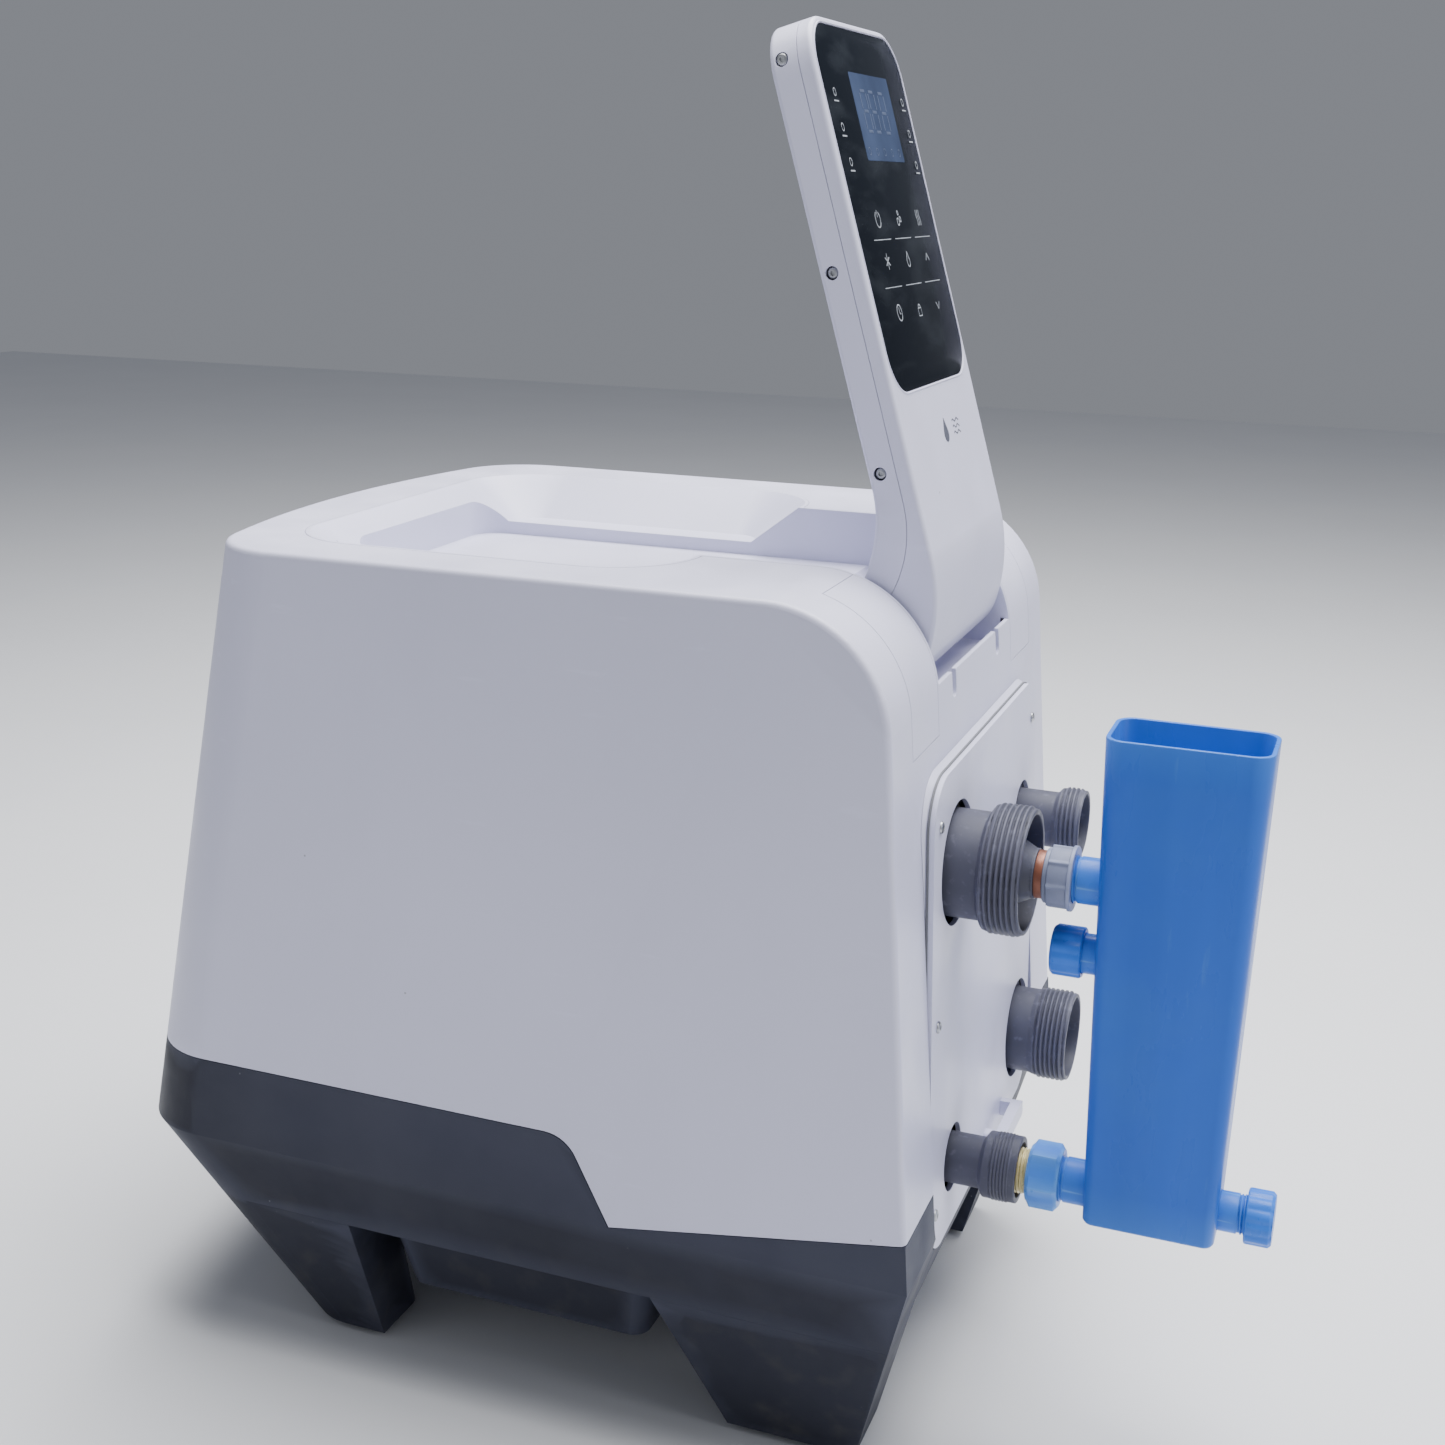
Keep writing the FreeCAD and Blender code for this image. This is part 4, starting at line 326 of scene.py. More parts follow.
def vessel_finish(base):
    """Extruded blue plastic: upright draw lines, handling scratches and a chalky bloom near the foot."""
    finish = Finish("vessel_plastic", base, 0.42, Specular_IOR_Level=0.2)
    finish.cloud(26.0, 4.0, 0.4, 0.7, 0.45, lighter(base, 1.25), (1.0, 1.0, 0.06))
    finish.cloud(11.0, 6.0, 0.5, 0.8, 0.3, (0.05, 0.20, 0.55))
    scratches = finish.between(finish.noise(90.0, 8.0, (1.4, 1.4, 0.16)), 0.68, 0.74, 0.0, 0.16)
    finish.tint(scratches, (0.12, 0.30, 0.66))
    finish.wear(0.6, (0.10, 0.30, 0.75))
    finish.sheen(40.0, 6.0, 0.22, 0.42, (1.0, 1.0, 0.3))
    finish.grain(160.0, 3.0, 0.00010, 0.5, (1.0, 1.0, 0.03))
    finish.grain(900.0, 2.0, 0.00003, 0.4)
    return finish.material


def fitting_finish(base):
    """Moulded blue fitting plastic with a slightly waxy gloss and rubbed ridges."""
    finish = Finish("fitting_plastic", base, 0.40, Specular_IOR_Level=0.25)
    finish.cloud(60.0, 5.0, 0.35, 0.7, 0.5, lighter(base, 1.3))
    finish.wear(0.7, (0.16, 0.42, 0.85))
    finish.sheen(80.0, 5.0, 0.25, 0.48)
    finish.grain(1300.0, 3.0, 0.00005, 0.5)
    return finish.material


def nut_finish(base):
    """Grey-blue nut, matt with scuffed ribs."""
    finish = Finish("nut_plastic", base, 0.46, Specular_IOR_Level=0.3)
    finish.cloud(70.0, 5.0, 0.4, 0.7, 0.6, lighter(base, 1.25))
    finish.wear(0.7, lighter(base, 1.9))
    finish.sheen(90.0, 5.0, 0.36, 0.56)
    finish.grain(1200.0, 3.0, 0.00006, 0.5)
    return finish.material


def copper_finish(base):
    """Red-brown ring, dulled by weather and brighter where it is rubbed."""
    finish = Finish("weathered_copper", base, 0.42, Metallic=0.35)
    finish.cloud(120.0, 6.0, 0.4, 0.65, 0.7, lighter(base, 0.55))
    finish.wear(0.8, (0.75, 0.36, 0.24))
    finish.sheen(200.0, 5.0, 0.3, 0.6)
    finish.bump(finish.bands(700.0, "X", 1.0), 0.00004, 0.6)
    return finish.material


def brass_finish(base):
    """Turned brass: lathe lines, tarnish in the roots and bright crests."""
    finish = Finish("turned_brass", base, 0.38, Metallic=0.25)
    finish.cloud(140.0, 6.0, 0.45, 0.7, 0.55, lighter(base, 0.5))
    finish.wear(0.8, (0.95, 0.80, 0.38))
    finish.sheen(260.0, 5.0, 0.24, 0.5)
    finish.bump(finish.bands(1500.0, "X", 0.6), 0.00003, 0.6)
    return finish.material


def glass_finish(base):
    """Black display cover: deep gloss with wiped smears, fingerprints and light dust."""
    finish = Finish("display_cover", base, 0.14, Specular_IOR_Level=0.0, Coat_Weight=0.25, Coat_Roughness=0.12)
    smears = finish.between(finish.noise(26.0, 7.0, (1.0, 0.5, 1.6)), 0.5, 0.72, 0.0, 0.35)
    finish.tint(smears, (0.040, 0.046, 0.055))
    dust = finish.between(finish.cells(300.0), 0.09, 0.03, 0.0, 0.5)
    finish.tint(finish.times(dust, finish.between(finish.noise(30.0), 0.5, 0.6)), (0.20, 0.21, 0.23))
    finish.sheen(34.0, 7.0, 0.10, 0.30, (1.0, 0.5, 1.6))
    finish.grain(12.0, 2.0, 0.0002, 0.08)
    return finish.material


def screen_finish(base):
    """Unlit screen: blue-black, with its fine dot grid and a faint cloud."""
    finish = Finish("unlit_screen", base, 0.22, Specular_IOR_Level=0.0, Coat_Weight=0.15, Coat_Roughness=0.12)
    finish.cloud(28.0, 4.0, 0.35, 0.7, 0.8, lighter(base, 1.8))
    grid = finish.times(finish.bands(640.0, "Y"), finish.bands(640.0, "Z"))
    finish.tint(finish.times(grid, 0.25), lighter(base, 2.4))
    finish.sheen(50.0, 5.0, 0.1, 0.26)
    finish.bump(grid, 0.00001, 0.4)
    return finish.material


def ink_finish(name, base):
    """Screen-printed ink, slightly uneven and matt on its ground."""
    finish = Finish(name, base, 0.45)
    finish.cloud(420.0, 5.0, 0.4, 0.7, 0.5, lighter(base, 0.7))
    finish.sheen(300.0, 4.0, 0.38, 0.58)
    finish.grain(1800.0, 2.0, 0.00002, 0.5)
    return finish.material


def steel_finish(base):
    """Zinc-plated steel with brushed lines, a dull bloom and handled edges."""
    finish = Finish("plated_steel", base, 0.36, Metallic=0.9)
    finish.cloud(90.0, 6.0, 0.45, 0.7, 0.5, lighter(base, 0.62))
    finish.sheen(160.0, 6.0, 0.24, 0.5, (1.0, 6.0, 1.0))
    finish.grain(1400.0, 3.0, 0.00003, 0.5, (1.0, 0.1, 1.0))
    return finish.material


def rubber_finish(base):
    """Dull black rubber with a dusty bloom and a fine pebbled skin."""
    finish = Finish("black_rubber", base, 0.72, Specular_IOR_Level=0.3)
    finish.cloud(50.0, 6.0, 0.45, 0.75, 0.55, (0.075, 0.07, 0.065))
    finish.sheen(120.0, 4.0, 0.62, 0.85)
    finish.bump(finish.cells(900.0), 0.0001, 0.6)
    return finish.material


def coil_finish():
    """Rolled aluminium fins: dense upright fin lines, dust and bent patches."""
    finish = Finish("rolled_fins", (0.58, 0.60, 0.62), 0.38, Metallic=0.85)
    lines = finish.bands(190.0, "X", 0.25)
    finish.tint(finish.between(lines, 0.4, 0.1, 0.0, 0.8), (0.10, 0.105, 0.11))
    finish.cloud(14.0, 5.0, 0.5, 0.75, 0.5, (0.30, 0.28, 0.24))
    finish.sheen(60.0, 4.0, 0.3, 0.55)
    finish.bump(lines, 0.0004, 0.7)
    return finish.material


def enamel_finish():
    """Black baked enamel on steel cans, with a light orange-peel skin."""
    finish = Finish("black_enamel", (0.014, 0.014, 0.016), 0.24, Coat_Weight=0.5, Coat_Roughness=0.12)
    finish.cloud(40.0, 6.0, 0.5, 0.75, 0.4, (0.05, 0.05, 0.05))
    finish.wear(0.4, (0.20, 0.19, 0.18))
    finish.sheen(70.0, 5.0, 0.18, 0.42)
    finish.grain(420.0, 3.0, 0.0001, 0.4)
    return finish.material


def works_finish(name, base, roughness):
    """Moulded plastic of the inner works: flow marks, dust and ejector-dull patches."""
    finish = Finish(name, base, roughness)
    finish.cloud(22.0, 5.0, 0.4, 0.7, 0.5, lighter(base, 0.8))
    finish.cloud(130.0, 6.0, 0.6, 0.75, 0.4, lighter(base, 1.4))
    finish.sheen(60.0, 5.0, roughness - 0.1, roughness + 0.15)
    finish.grain(1100.0, 3.0, 0.00006, 0.5)
    return finish.material


def tube_finish():
    """Drawn copper tube: darkened by heat, with handling stains."""
    finish = Finish("drawn_copper", (0.62, 0.28, 0.17), 0.3, Metallic=0.95)
    finish.cloud(60.0, 6.0, 0.45, 0.7, 0.7, (0.20, 0.085, 0.055))
    finish.sheen(120.0, 5.0, 0.2, 0.5)
    finish.grain(900.0, 3.0, 0.00003, 0.5)
    return finish.material


def board_finish():
    """Circuit board: green mask over fine tracks and pale pads."""
    finish = Finish("circuit_board", (0.012, 0.11, 0.045), 0.34)
    tracks = finish.between(finish.cells(140.0, "DISTANCE_TO_EDGE"), 0.04, 0.02)
    finish.tint(tracks, (0.035, 0.22, 0.09))
    pads = finish.between(finish.cells(210.0), 0.16, 0.1)
    finish.tint(finish.times(pads, finish.between(finish.noise(40.0), 0.5, 0.55)), (0.55, 0.55, 0.5))
    finish.sheen(80.0, 4.0, 0.26, 0.46)
    finish.bump(tracks, 0.00003, 0.6)
    return finish.material


def braid_finish():
    """Clear hose with its woven braid inside."""
    finish = Finish("braided_hose", (0.30, 0.33, 0.37), 0.3, Coat_Weight=0.4, Coat_Roughness=0.15)
    braid = finish.times(finish.bands(120.0, "DIAGONAL"), finish.bands(120.0, "X"))
    finish.tint(finish.between(braid, 0.2, 0.5, 0.0, 0.7), (0.62, 0.64, 0.66))
    finish.sheen(90.0, 4.0, 0.22, 0.4)
    finish.bump(braid, 0.0002, 0.5)
    return finish.material


FINISHES = {}


def mix_finishes(colours):
    FINISHES.update({
        "shell": shell_finish(tuple(colours.shell)),
        "base": base_finish(tuple(colours.base)),
        "tail": tail_finish(tuple(colours.tail)),
        "vessel": vessel_finish(tuple(colours.vessel)),
        "fitting": fitting_finish(tuple(colours.fitting)),
        "nut": nut_finish(tuple(colours.nut)),
        "copper": copper_finish(tuple(colours.copper)),
        "brass": brass_finish(tuple(colours.brass)),
        "glass": glass_finish(tuple(colours.glass)),
        "screen": screen_finish(tuple(colours.lcd)),
        "ink": ink_finish("printed_symbols", tuple(colours.print_ink)),
        "mark": ink_finish("printed_mark", tuple(colours.mark)),
        "ghost": ink_finish("screen_ghost", lighter(tuple(colours.lcd), 1.9)),
        "steel": steel_finish(tuple(colours.steel)),
        "rubber": rubber_finish(tuple(colours.rubber)),
        "seal": works_finish("grey_gasket", (0.16, 0.165, 0.18), 0.6),
        "fins": coil_finish(),
        "enamel": enamel_finish(),
        "works_black": works_finish("works_black", (0.022, 0.022, 0.026), 0.5),
        "works_white": works_finish("works_white", (0.62, 0.62, 0.60), 0.42),
        "works_grey": works_finish("works_grey", (0.12, 0.125, 0.14), 0.4),
        "tube": tube_finish(),
        "board": board_finish(),
        "braid": braid_finish(),
    })


# ---------------------------------------------------------------- making pieces

def shaded(mesh, angle=35.0):
    """Smooth shading that keeps edges sharper than an angle crisp."""
    mesh.shade_smooth()
    mesh.set_sharp_from_angle(angle=math.radians(angle))


def shown(name, mesh, finish, body, replaces):
    """Put a mesh on view: its finish, the body it rides on and the nodes it stands for."""
    mesh.materials.clear()
    mesh.materials.append(FINISHES[finish])
    thing = bpy.data.objects.new(name, mesh)
    bpy.context.scene.collection.objects.link(thing)
    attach(thing, body)
    if replaces:
        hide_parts(*replaces)
    return thing


def piece(name, form, finish, body, replaces=(), angle=35.0):
    """Turn a finished bmesh into a visible piece."""
    bmesh.ops.recalc_face_normals(form, faces=form.faces)
    mesh = bpy.data.meshes.new(name)
    form.to_mesh(mesh)
    form.free()
    shaded(mesh, angle)
    return shown(name, mesh, finish, body, replaces)


def dressed(nodes, finish):
    """Give carried-over CAD nodes their finish."""
    for node in nodes:
        mesh = frame["nodes"][node].data
        mesh.materials.clear()
        mesh.materials.append(FINISHES[finish])


def band(form, rings, turned=False):
    """Quads between neighbouring rings of points; a turned band joins its last ring to its first."""
    vertices = [[form.verts.new(point) for point in ring] for ring in rings]
    pairs = list(zip(vertices, vertices[1:]))
    if turned:
        pairs.append((vertices[-1], vertices[0]))
    for lower, upper in pairs:
        count = len(lower)
        for index in range(count):
            on = (index + 1) % count
            form.faces.new((lower[index], lower[on], upper[on], upper[index]))
    return vertices


def capped(form, rings):
    """Band closed by a flat face at each end."""
    vertices = band(form, rings)
    form.faces.new(vertices[0])
    form.faces.new(vertices[-1])


def eased(corners, radius, steps=3):
    """Round every corner of a closed outline of (u, v) pairs."""
    rounded = []
    count = len(corners)
    for index in range(count):
        here = Vector(corners[index])
        back = Vector(corners[index - 1]) - here
        on = Vector(corners[(index + 1) % count]) - here
        reach = min(radius, back.length * 0.45, on.length * 0.45)
        start, end = here + back.normalized() * reach, here + on.normalized() * reach
        for step in range(steps + 1):
            share = step / steps
            first, second = start.lerp(here, share), here.lerp(end, share)
            rounded.append(tuple(first.lerp(second, share)))
    return rounded


def lathed(form, profile, place, segments=96, shape=None):
    """Solid of revolution about the place's X, from a closed outline of (x, radius); shape may change a radius."""
    rings = []
    for along, radius in profile:
        ring = []
        for step in range(segments):
            angle = 2 * math.pi * step / segments
            reach = shape(angle, along, radius) if shape else radius
            ring.append(place @ Vector((along, reach * math.cos(angle), reach * math.sin(angle))))
        rings.append(ring)
    band(form, rings, turned=True)


def screw_thread(form, start, end, root, depth, pitch, place, segments=96):
    """Right-hand helical ridge between two places along X, closed by a sleeve inside it."""
    shares = ((0.0, 0.0), (0.28, 1.0), (0.56, 1.0), (0.84, 0.0))
    sleeve = 0.0012
    fade = pitch * 0.8
    turns = int((end - start) / pitch) + 2
    line = []
    for turn in range(-1, turns):
        for share, lift in shares:
            for step in range(segments):
                angle = 2 * math.pi * step / segments
                along = start + pitch * (turn + share + step / segments)
                run = max(0.0, min((along - start) / fade, (end - along) / fade, 1.0))
                radius = root + depth * lift * run
                held = min(max(along, start), end)
                point = Vector((held, radius * math.cos(angle), radius * math.sin(angle)))
                line.append(form.verts.new(place @ point))
    turn_stride = len(shares) * segments
    for index in range(len(line) - segments):
        after = index + 1 if (index + 1) % segments else index + 1 - segments + turn_stride
        if after + segments < len(line):
            form.faces.new((line[index], line[after], line[after + segments], line[index + segments]))
    lathed(form, [(start, root), (start, root - sleeve), (end, root - sleeve), (end, root)], place, segments)
    bmesh.ops.remove_doubles(form, verts=form.verts, dist=2e-6)
    bmesh.ops.dissolve_degenerate(form, edges=form.edges, dist=1e-6)


def rounded_loop(half_u, half_v, corner, steps=8):
    """Rectangle with rounded corners, as (u, v) pairs round its middle."""
    loop = []
    for quarter, (sign_u, sign_v) in enumerate(((1, 1), (-1, 1), (-1, -1), (1, -1))):
        for step in range(steps + 1):
            angle = math.pi / 2 * (quarter + step / steps)
            loop.append((sign_u * (half_u - corner) + corner * math.cos(angle),
                         sign_v * (half_v - corner) + corner * math.sin(angle)))
    return loop


def rounded_block(form, place, half, corner):
    """Small block with every edge rounded: X is its depth, from the place's own plane outward."""
    half_y, half_z, depth = half
    soft = min(corner, depth) * 0.6
    rings = []
    for along, inset in ((0.0, 0.0), (depth - soft, 0.0), (depth - soft * 0.3, soft * 0.3), (depth, soft)):
        rings.append([place @ Vector((along, u, v))
                      for u, v in rounded_loop(half_y - inset, half_z - inset, max(corner - inset, 0.0002))])
    capped(form, rings)


def middle_of(node):
    low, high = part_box(node)
    return (low + high) / 2


def axis_through(node):
    """Frame whose X axis runs through a round node, with X still measured in the model's frame."""
    middle = middle_of(node)
    return Matrix.Translation((0.0, middle.y, middle.z))


# ---------------------------------------------------------------- housing and base

def build_housing(sizes):
    dressed(["outer_shell", "top_tray", "shoulder_covers"], "shell")
    low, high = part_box("base_tub")
    plate_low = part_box("port_plate")[0]
    place = Matrix.Translation((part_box("outer_shell")[1].x - 0.006, low.y + 0.017, plate_low.z + 0.08))
    form = bmesh.new()
    rounded_block(form, place, (0.0022, 0.0055, 0.0035), 0.0012)
    piece("edge_clip", form, "shell", "housing")


def build_grilles(sizes):
    dressed(["intake_grille", "fan_guard"], "shell")


def build_base(sizes):
    dressed(["base_tub", "belly_pan", "leg_port_near", "leg_port_far", "leg_end_near", "leg_end_far"], "base")
    dressed(["foot_pads"], "rubber")


def hex_shape(flat, limit):
    """Radius of a hexagonal bar under a turned limit."""
    def shape(angle, along, radius):
        corner = math.radians(60.0)
        return min(radius, flat / math.cos(angle % corner - corner / 2)) if radius > limit else radius
    return shape


def socket_screw(form, place, radius, height):
    """Low domed head with a hexagonal socket; X is out of the surface."""
    socket, depth = radius * 0.42, height * 0.6

    def shape(angle, along, reach):
        corner = math.radians(60.0)
        return reach / math.cos(angle % corner - corner / 2) * 0.93 if 0 < reach <= socket else reach

    profile = [(0.0, radius), (height * 0.35, radius), (height * 0.75, radius * 0.88), (height, radius * 0.6),
               (height, socket), (height - depth, socket), (height - depth, radius * 0.02), (0.0, radius * 0.02)]
    lathed(form, profile, place, 36, shape)


def build_plate(sizes):
    dressed(["port_frame", "port_plate", "plate_ledge"], "shell")
    dressed(["plate_gasket"], "seal")
    low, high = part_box("plate_screws")
    radius = sizes.plate_screw
    tilt = math.tan(sizes.plate_lean)
    form = bmesh.new()
    for y in (low.y + radius, high.y - radius):
        for share in (0.0, 0.5, 1.0):
            z = low.z + radius + share * (high.z - low.z - 2 * radius)
            x = high.x - 0.0018 - (z - low.z) * tilt
            place = Matrix.Translation((x, y, z)) @ Matrix.Rotation(-sizes.plate_lean, 4, "Y")
            socket_screw(form, place, radius, 0.0018)
    piece("plate_socket_screws", form, "steel", "housing", ["plate_screws"])


# ---------------------------------------------------------------- hose tails

TAILS = {
    # node: (neck radius, mouth radius, collar length, share of the full thread)
    "tail_blower": (0.0360, 0.0380, 0.0260, 1.0),
    "tail_pump": (0.0176, 0.0186, 0.0230, 0.4),
    "tail_filter": (0.0210, 0.0220, 0.0180, 0.9),
    "tail_drain": (0.0325, 0.0305, 0.0265, 1.0),
}


def build_tails(sizes):
    for node, (neck, mouth, reach, share) in TAILS.items():
        low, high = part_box(node)
        place = axis_through(node)
        depth, pitch = sizes.thread_depth * share, sizes.thread_pitch * math.sqrt(share)
        root = (high.y - low.y) / 2 - depth
        wall = 0.004
        start = high.x - reach
        profile = [(low.x, neck - wall), (low.x, neck), (start - 0.003, neck), (start, root), (high.x, root),
                   (high.x, mouth), (start + 0.001, mouth), (start - 0.002, neck - wall)]
        form = bmesh.new()
        lathed(form, eased(profile, sizes.fine_edge * 1.6), place)
        smooth = 0.0012 + (1.0 - share) * 0.006
        screw_thread(form, start + smooth, high.x - smooth, root, depth, pitch, place)
        piece(f"{node}_threaded", form, "tail", "housing", [node])
    dressed(["tail_seals"], "rubber")


# ---------------------------------------------------------------- control arm

def arm_frame():
    """Frame of the leaning arm: X out of its front, Y across it, Z along it from the hinge."""
    out = Vector((math.cos(ARM_LEAN), 0.0, math.sin(ARM_LEAN)))
    along = Vector((-math.sin(ARM_LEAN), 0.0, math.cos(ARM_LEAN)))
    turn = Matrix((out, Vector((0.0, 1.0, 0.0)), along)).transposed().to_4x4()
    return Matrix.Translation(HINGE_PLACE) @ turn


def build_arm(sizes):
    dressed(["arm_front_shell", "arm_back_shell"], "shell")
    half = middle_of("arm_screws").y + (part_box("arm_screws")[1].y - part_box("arm_screws")[0].y) / 2
    form = bmesh.new()
    for along in (sizes.arm_screw_first, sizes.arm_screw_second, sizes.arm_screw_third):
        for side in (-1, 1):
            place = arm_frame() @ Matrix.Translation((sizes.arm_screw_out, side * (half - 0.0022), along))
            place = place @ Matrix.Rotation(side * math.pi / 2, 4, "Z")
            socket_screw(form, place, 0.0038, 0.0022)
    piece("arm_socket_screws", form, "steel", "control_arm", ["arm_screws"])
    dressed(["hinge_pin"], "steel")
    dressed(["hinge_bushes", "hinge_brackets"], "works_white")
    dressed(["arm_board"], "board")


# ---------------------------------------------------------------- display

def flat_print(form, outline, place, lift, depth=0.00006):
    """Thin slab from an outline of (across, along) pairs on the arm's front."""
    capped(form, [[place @ Vector((lift + rise, u, v)) for u, v in outline] for rise in (0.0, depth)])


def stroke(form, points, width, place, lift):
    """Printed line of even width along open points."""
    left, right = [], []
    count = len(points)
    for index, (u, v) in enumerate(points):
        before, after = Vector(points[max(index - 1, 0)]), Vector(points[min(index + 1, count - 1)])
        run = (after - before).normalized()
        left.append((u - run.y * width / 2, v + run.x * width / 2))
        right.append((u + run.y * width / 2, v - run.x * width / 2))
    flat_print(form, left + right[::-1], place, lift)


def arc(middle, radius, start, end, steps=20):
    """Points of an arc, its ends in turns."""
    return [(middle[0] + radius * math.cos(2 * math.pi * (start + (end - start) * step / steps)),
             middle[1] + radius * math.sin(2 * math.pi * (start + (end - start) * step / steps)))
            for step in range(steps + 1)]


def power_symbol(middle, size):
    u, v = middle
    return [arc(middle, size, 0.33, 1.17), [(u, v + size * 0.25), (u, v + size * 1.15)]]


def bubbles_symbol(middle, size):
    u, v = middle
    return [arc((u - size * 0.5, v - size * 0.4), size * 0.45, 0.0, 0.99),
            arc((u + size * 0.55, v - size * 0.1), size * 0.33, 0.0, 0.99),
            arc((u - size * 0.05, v + size * 0.7), size * 0.25, 0.0, 0.99)]


def heat_symbol(middle, size):
    u, v = middle
    return [[(u + column * size * 0.7 + size * 0.18 * math.sin(2 * math.pi * step / 12), v + size * (step / 6 - 1))
             for step in range(13)] for column in (-1, 0, 1)]


def frost_symbol(middle, size):
    u, v = middle
    return [[(u - size * math.cos(turn), v - size * math.sin(turn)),
             (u + size * math.cos(turn), v + size * math.sin(turn))]
            for turn in (math.pi / 6, math.pi / 2, math.pi * 5 / 6)]


def drop_outline(middle, size):
    """Droplet: a round foot that draws up to a point."""
    u, v = middle
    foot = arc((u, v - size * 0.3), size * 0.62, -0.58, 0.08, 28)
    return [(u, v + size)] + foot


def drop_symbol(middle, size):
    outline = drop_outline(middle, size)
    return [outline + outline[:1]]


def up_symbol(middle, size):
    u, v = middle
    return [[(u - size * 0.8, v - size * 0.4), (u, v + size * 0.5), (u + size * 0.8, v - size * 0.4)]]


def down_symbol(middle, size):
    u, v = middle
    return [[(u - size * 0.8, v + size * 0.4), (u, v - size * 0.5), (u + size * 0.8, v + size * 0.4)]]


def clock_symbol(middle, size):
    u, v = middle
    return [arc(middle, size, 0.0, 0.99), [(u, v + size * 0.65), (u, v), (u + size * 0.5, v - size * 0.2)]]


def lock_symbol(middle, size):
    u, v = middle
    body = [(u - size * 0.7, v - size * 0.9), (u + size * 0.7, v - size * 0.9), (u + size * 0.7, v + size * 0.1),
            (u - size * 0.7, v + size * 0.1), (u - size * 0.7, v - size * 0.9)]
    return [body, arc((u, v + size * 0.1), size * 0.45, 0.0, 0.5)]


BUTTONS = ((power_symbol, bubbles_symbol, heat_symbol),
           (frost_symbol, drop_symbol, up_symbol),
           (clock_symbol, lock_symbol, down_symbol))
BUTTON_ROWS = (0.260, 0.233, 0.200)
BUTTON_COLUMNS = (-0.043, 0.005, 0.053)
DIVIDERS = (0.247, 0.2165)


def seven_segments(middle, height):
    """Ghost outline of one digit: seven short bars."""
    u, v = middle
    half = height / 4
    level = [[(u - half * 0.75, v + row * height / 2), (u + half * 0.75, v + row * height / 2)] for row in (-1, 0, 1)]
    upright = [[(u + side * half, v + row * height / 4 - height * 0.19),
                (u + side * half, v + row * height / 4 + height * 0.19)]
               for side in (-1, 1) for row in (-1, 1)]
    return level + upright


def build_display(sizes):
    arm = arm_frame()
    low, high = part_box("display_glass")
    half = (high.y - low.y) / 2
    foot, head, front = sizes.glass_low, sizes.glass_high, sizes.arm_front
    middle = (foot + head) / 2
    reach = (head - foot) / 2
    corner, depth, soft = sizes.glass_corner, 0.0022, 0.0006

    form = bmesh.new()
    rings = []
    for rise, inset in ((-depth, 0.0), (-soft, 0.0), (-soft * 0.3, soft * 0.3), (0.0, soft)):
        rings.append([arm @ Vector((front + rise, u, middle + v))
                      for u, v in rounded_loop(half - inset, reach - inset, corner - inset, 14)])
    capped(form, rings)
    piece("display_cover", form, "glass", "control_arm", ["display_glass"])

    form = bmesh.new()
    bead, gap = 0.0014, 0.0006
    rings = []
    for rise, grow in ((-0.0004, gap), (0.0003, gap + bead * 0.15), (0.0005, gap + bead * 0.5),
                       (0.0003, gap + bead * 0.85), (-0.0004, gap + bead)):
        rings.append([arm @ Vector((front + rise, u, middle + v))
                      for u, v in rounded_loop(half + grow, reach + grow, corner + grow, 14)])
    band(form, rings, turned=True)
    piece("display_bead", form, "shell", "control_arm")

    screen_low = sizes.screen_low
    screen = (sizes.screen_across, screen_low + sizes.screen_high / 2)
    form = bmesh.new()
    outline = [(screen[0] + u, screen[1] + v)
               for u, v in rounded_loop(sizes.screen_wide / 2, sizes.screen_high / 2, 0.0015, 4)]
    flat_print(form, outline, arm, front + 0.00002)
    piece("screen_window", form, "screen", "control_arm", ["lcd_module"])

    form = bmesh.new()
    lift = front + 0.00009
    for across in (-0.021, -0.003, 0.019):
        for bar in seven_segments((screen[0] + across, screen[1] + 0.004), 0.026):
            stroke(form, bar, 0.0019, arm, lift)
    for across in (-0.034, -0.017, 0.0, 0.017, 0.034):
        stroke(form, arc((screen[0] + across, screen_low + 0.006), 0.0024, 0.0, 0.99, 12), 0.0005, arm, lift)
    piece("screen_ghost_digits", form, "ghost", "control_arm")

    form = bmesh.new()
    lift = front + 0.00002
    for row, symbols in zip(BUTTON_ROWS, BUTTONS):
        for column, symbol in zip(BUTTON_COLUMNS, symbols):
            for line in symbol((column, row), 0.0052):
                stroke(form, line, 0.00075, arm, lift)
    for row in DIVIDERS:
        for column in BUTTON_COLUMNS:
            stroke(form, [(column - 0.019, row), (column + 0.019, row)], 0.0005, arm, lift)
    for row in (0.339, 0.3175, 0.296):
        for column in (-0.072, 0.080):
            stroke(form, arc((column, row), 0.0024, 0.0, 0.99, 16), 0.0006, arm, lift)
            stroke(form, [(column - 0.0045, row - 0.0055), (column + 0.0045, row - 0.0055)], 0.0009, arm, lift)
    piece("display_symbols", form, "ink", "control_arm")

    form = bmesh.new()
    outline = drop_outline((0.0, sizes.mark_along), 0.0085)
    flat_print(form, outline, arm, front - 0.00001, 0.0003)
    for step in (-1, 0, 1):
        wave = [(0.020 + 0.0012 * point, sizes.mark_along + step * 0.0042 + 0.0009 * math.sin(point * math.pi / 4))
                for point in range(0, 15)]
        stroke(form, wave, 0.0011, arm, front - 0.00001)
    piece("arm_droplet_mark", form, "mark", "control_arm")


# ---------------------------------------------------------------- vessel and fittings

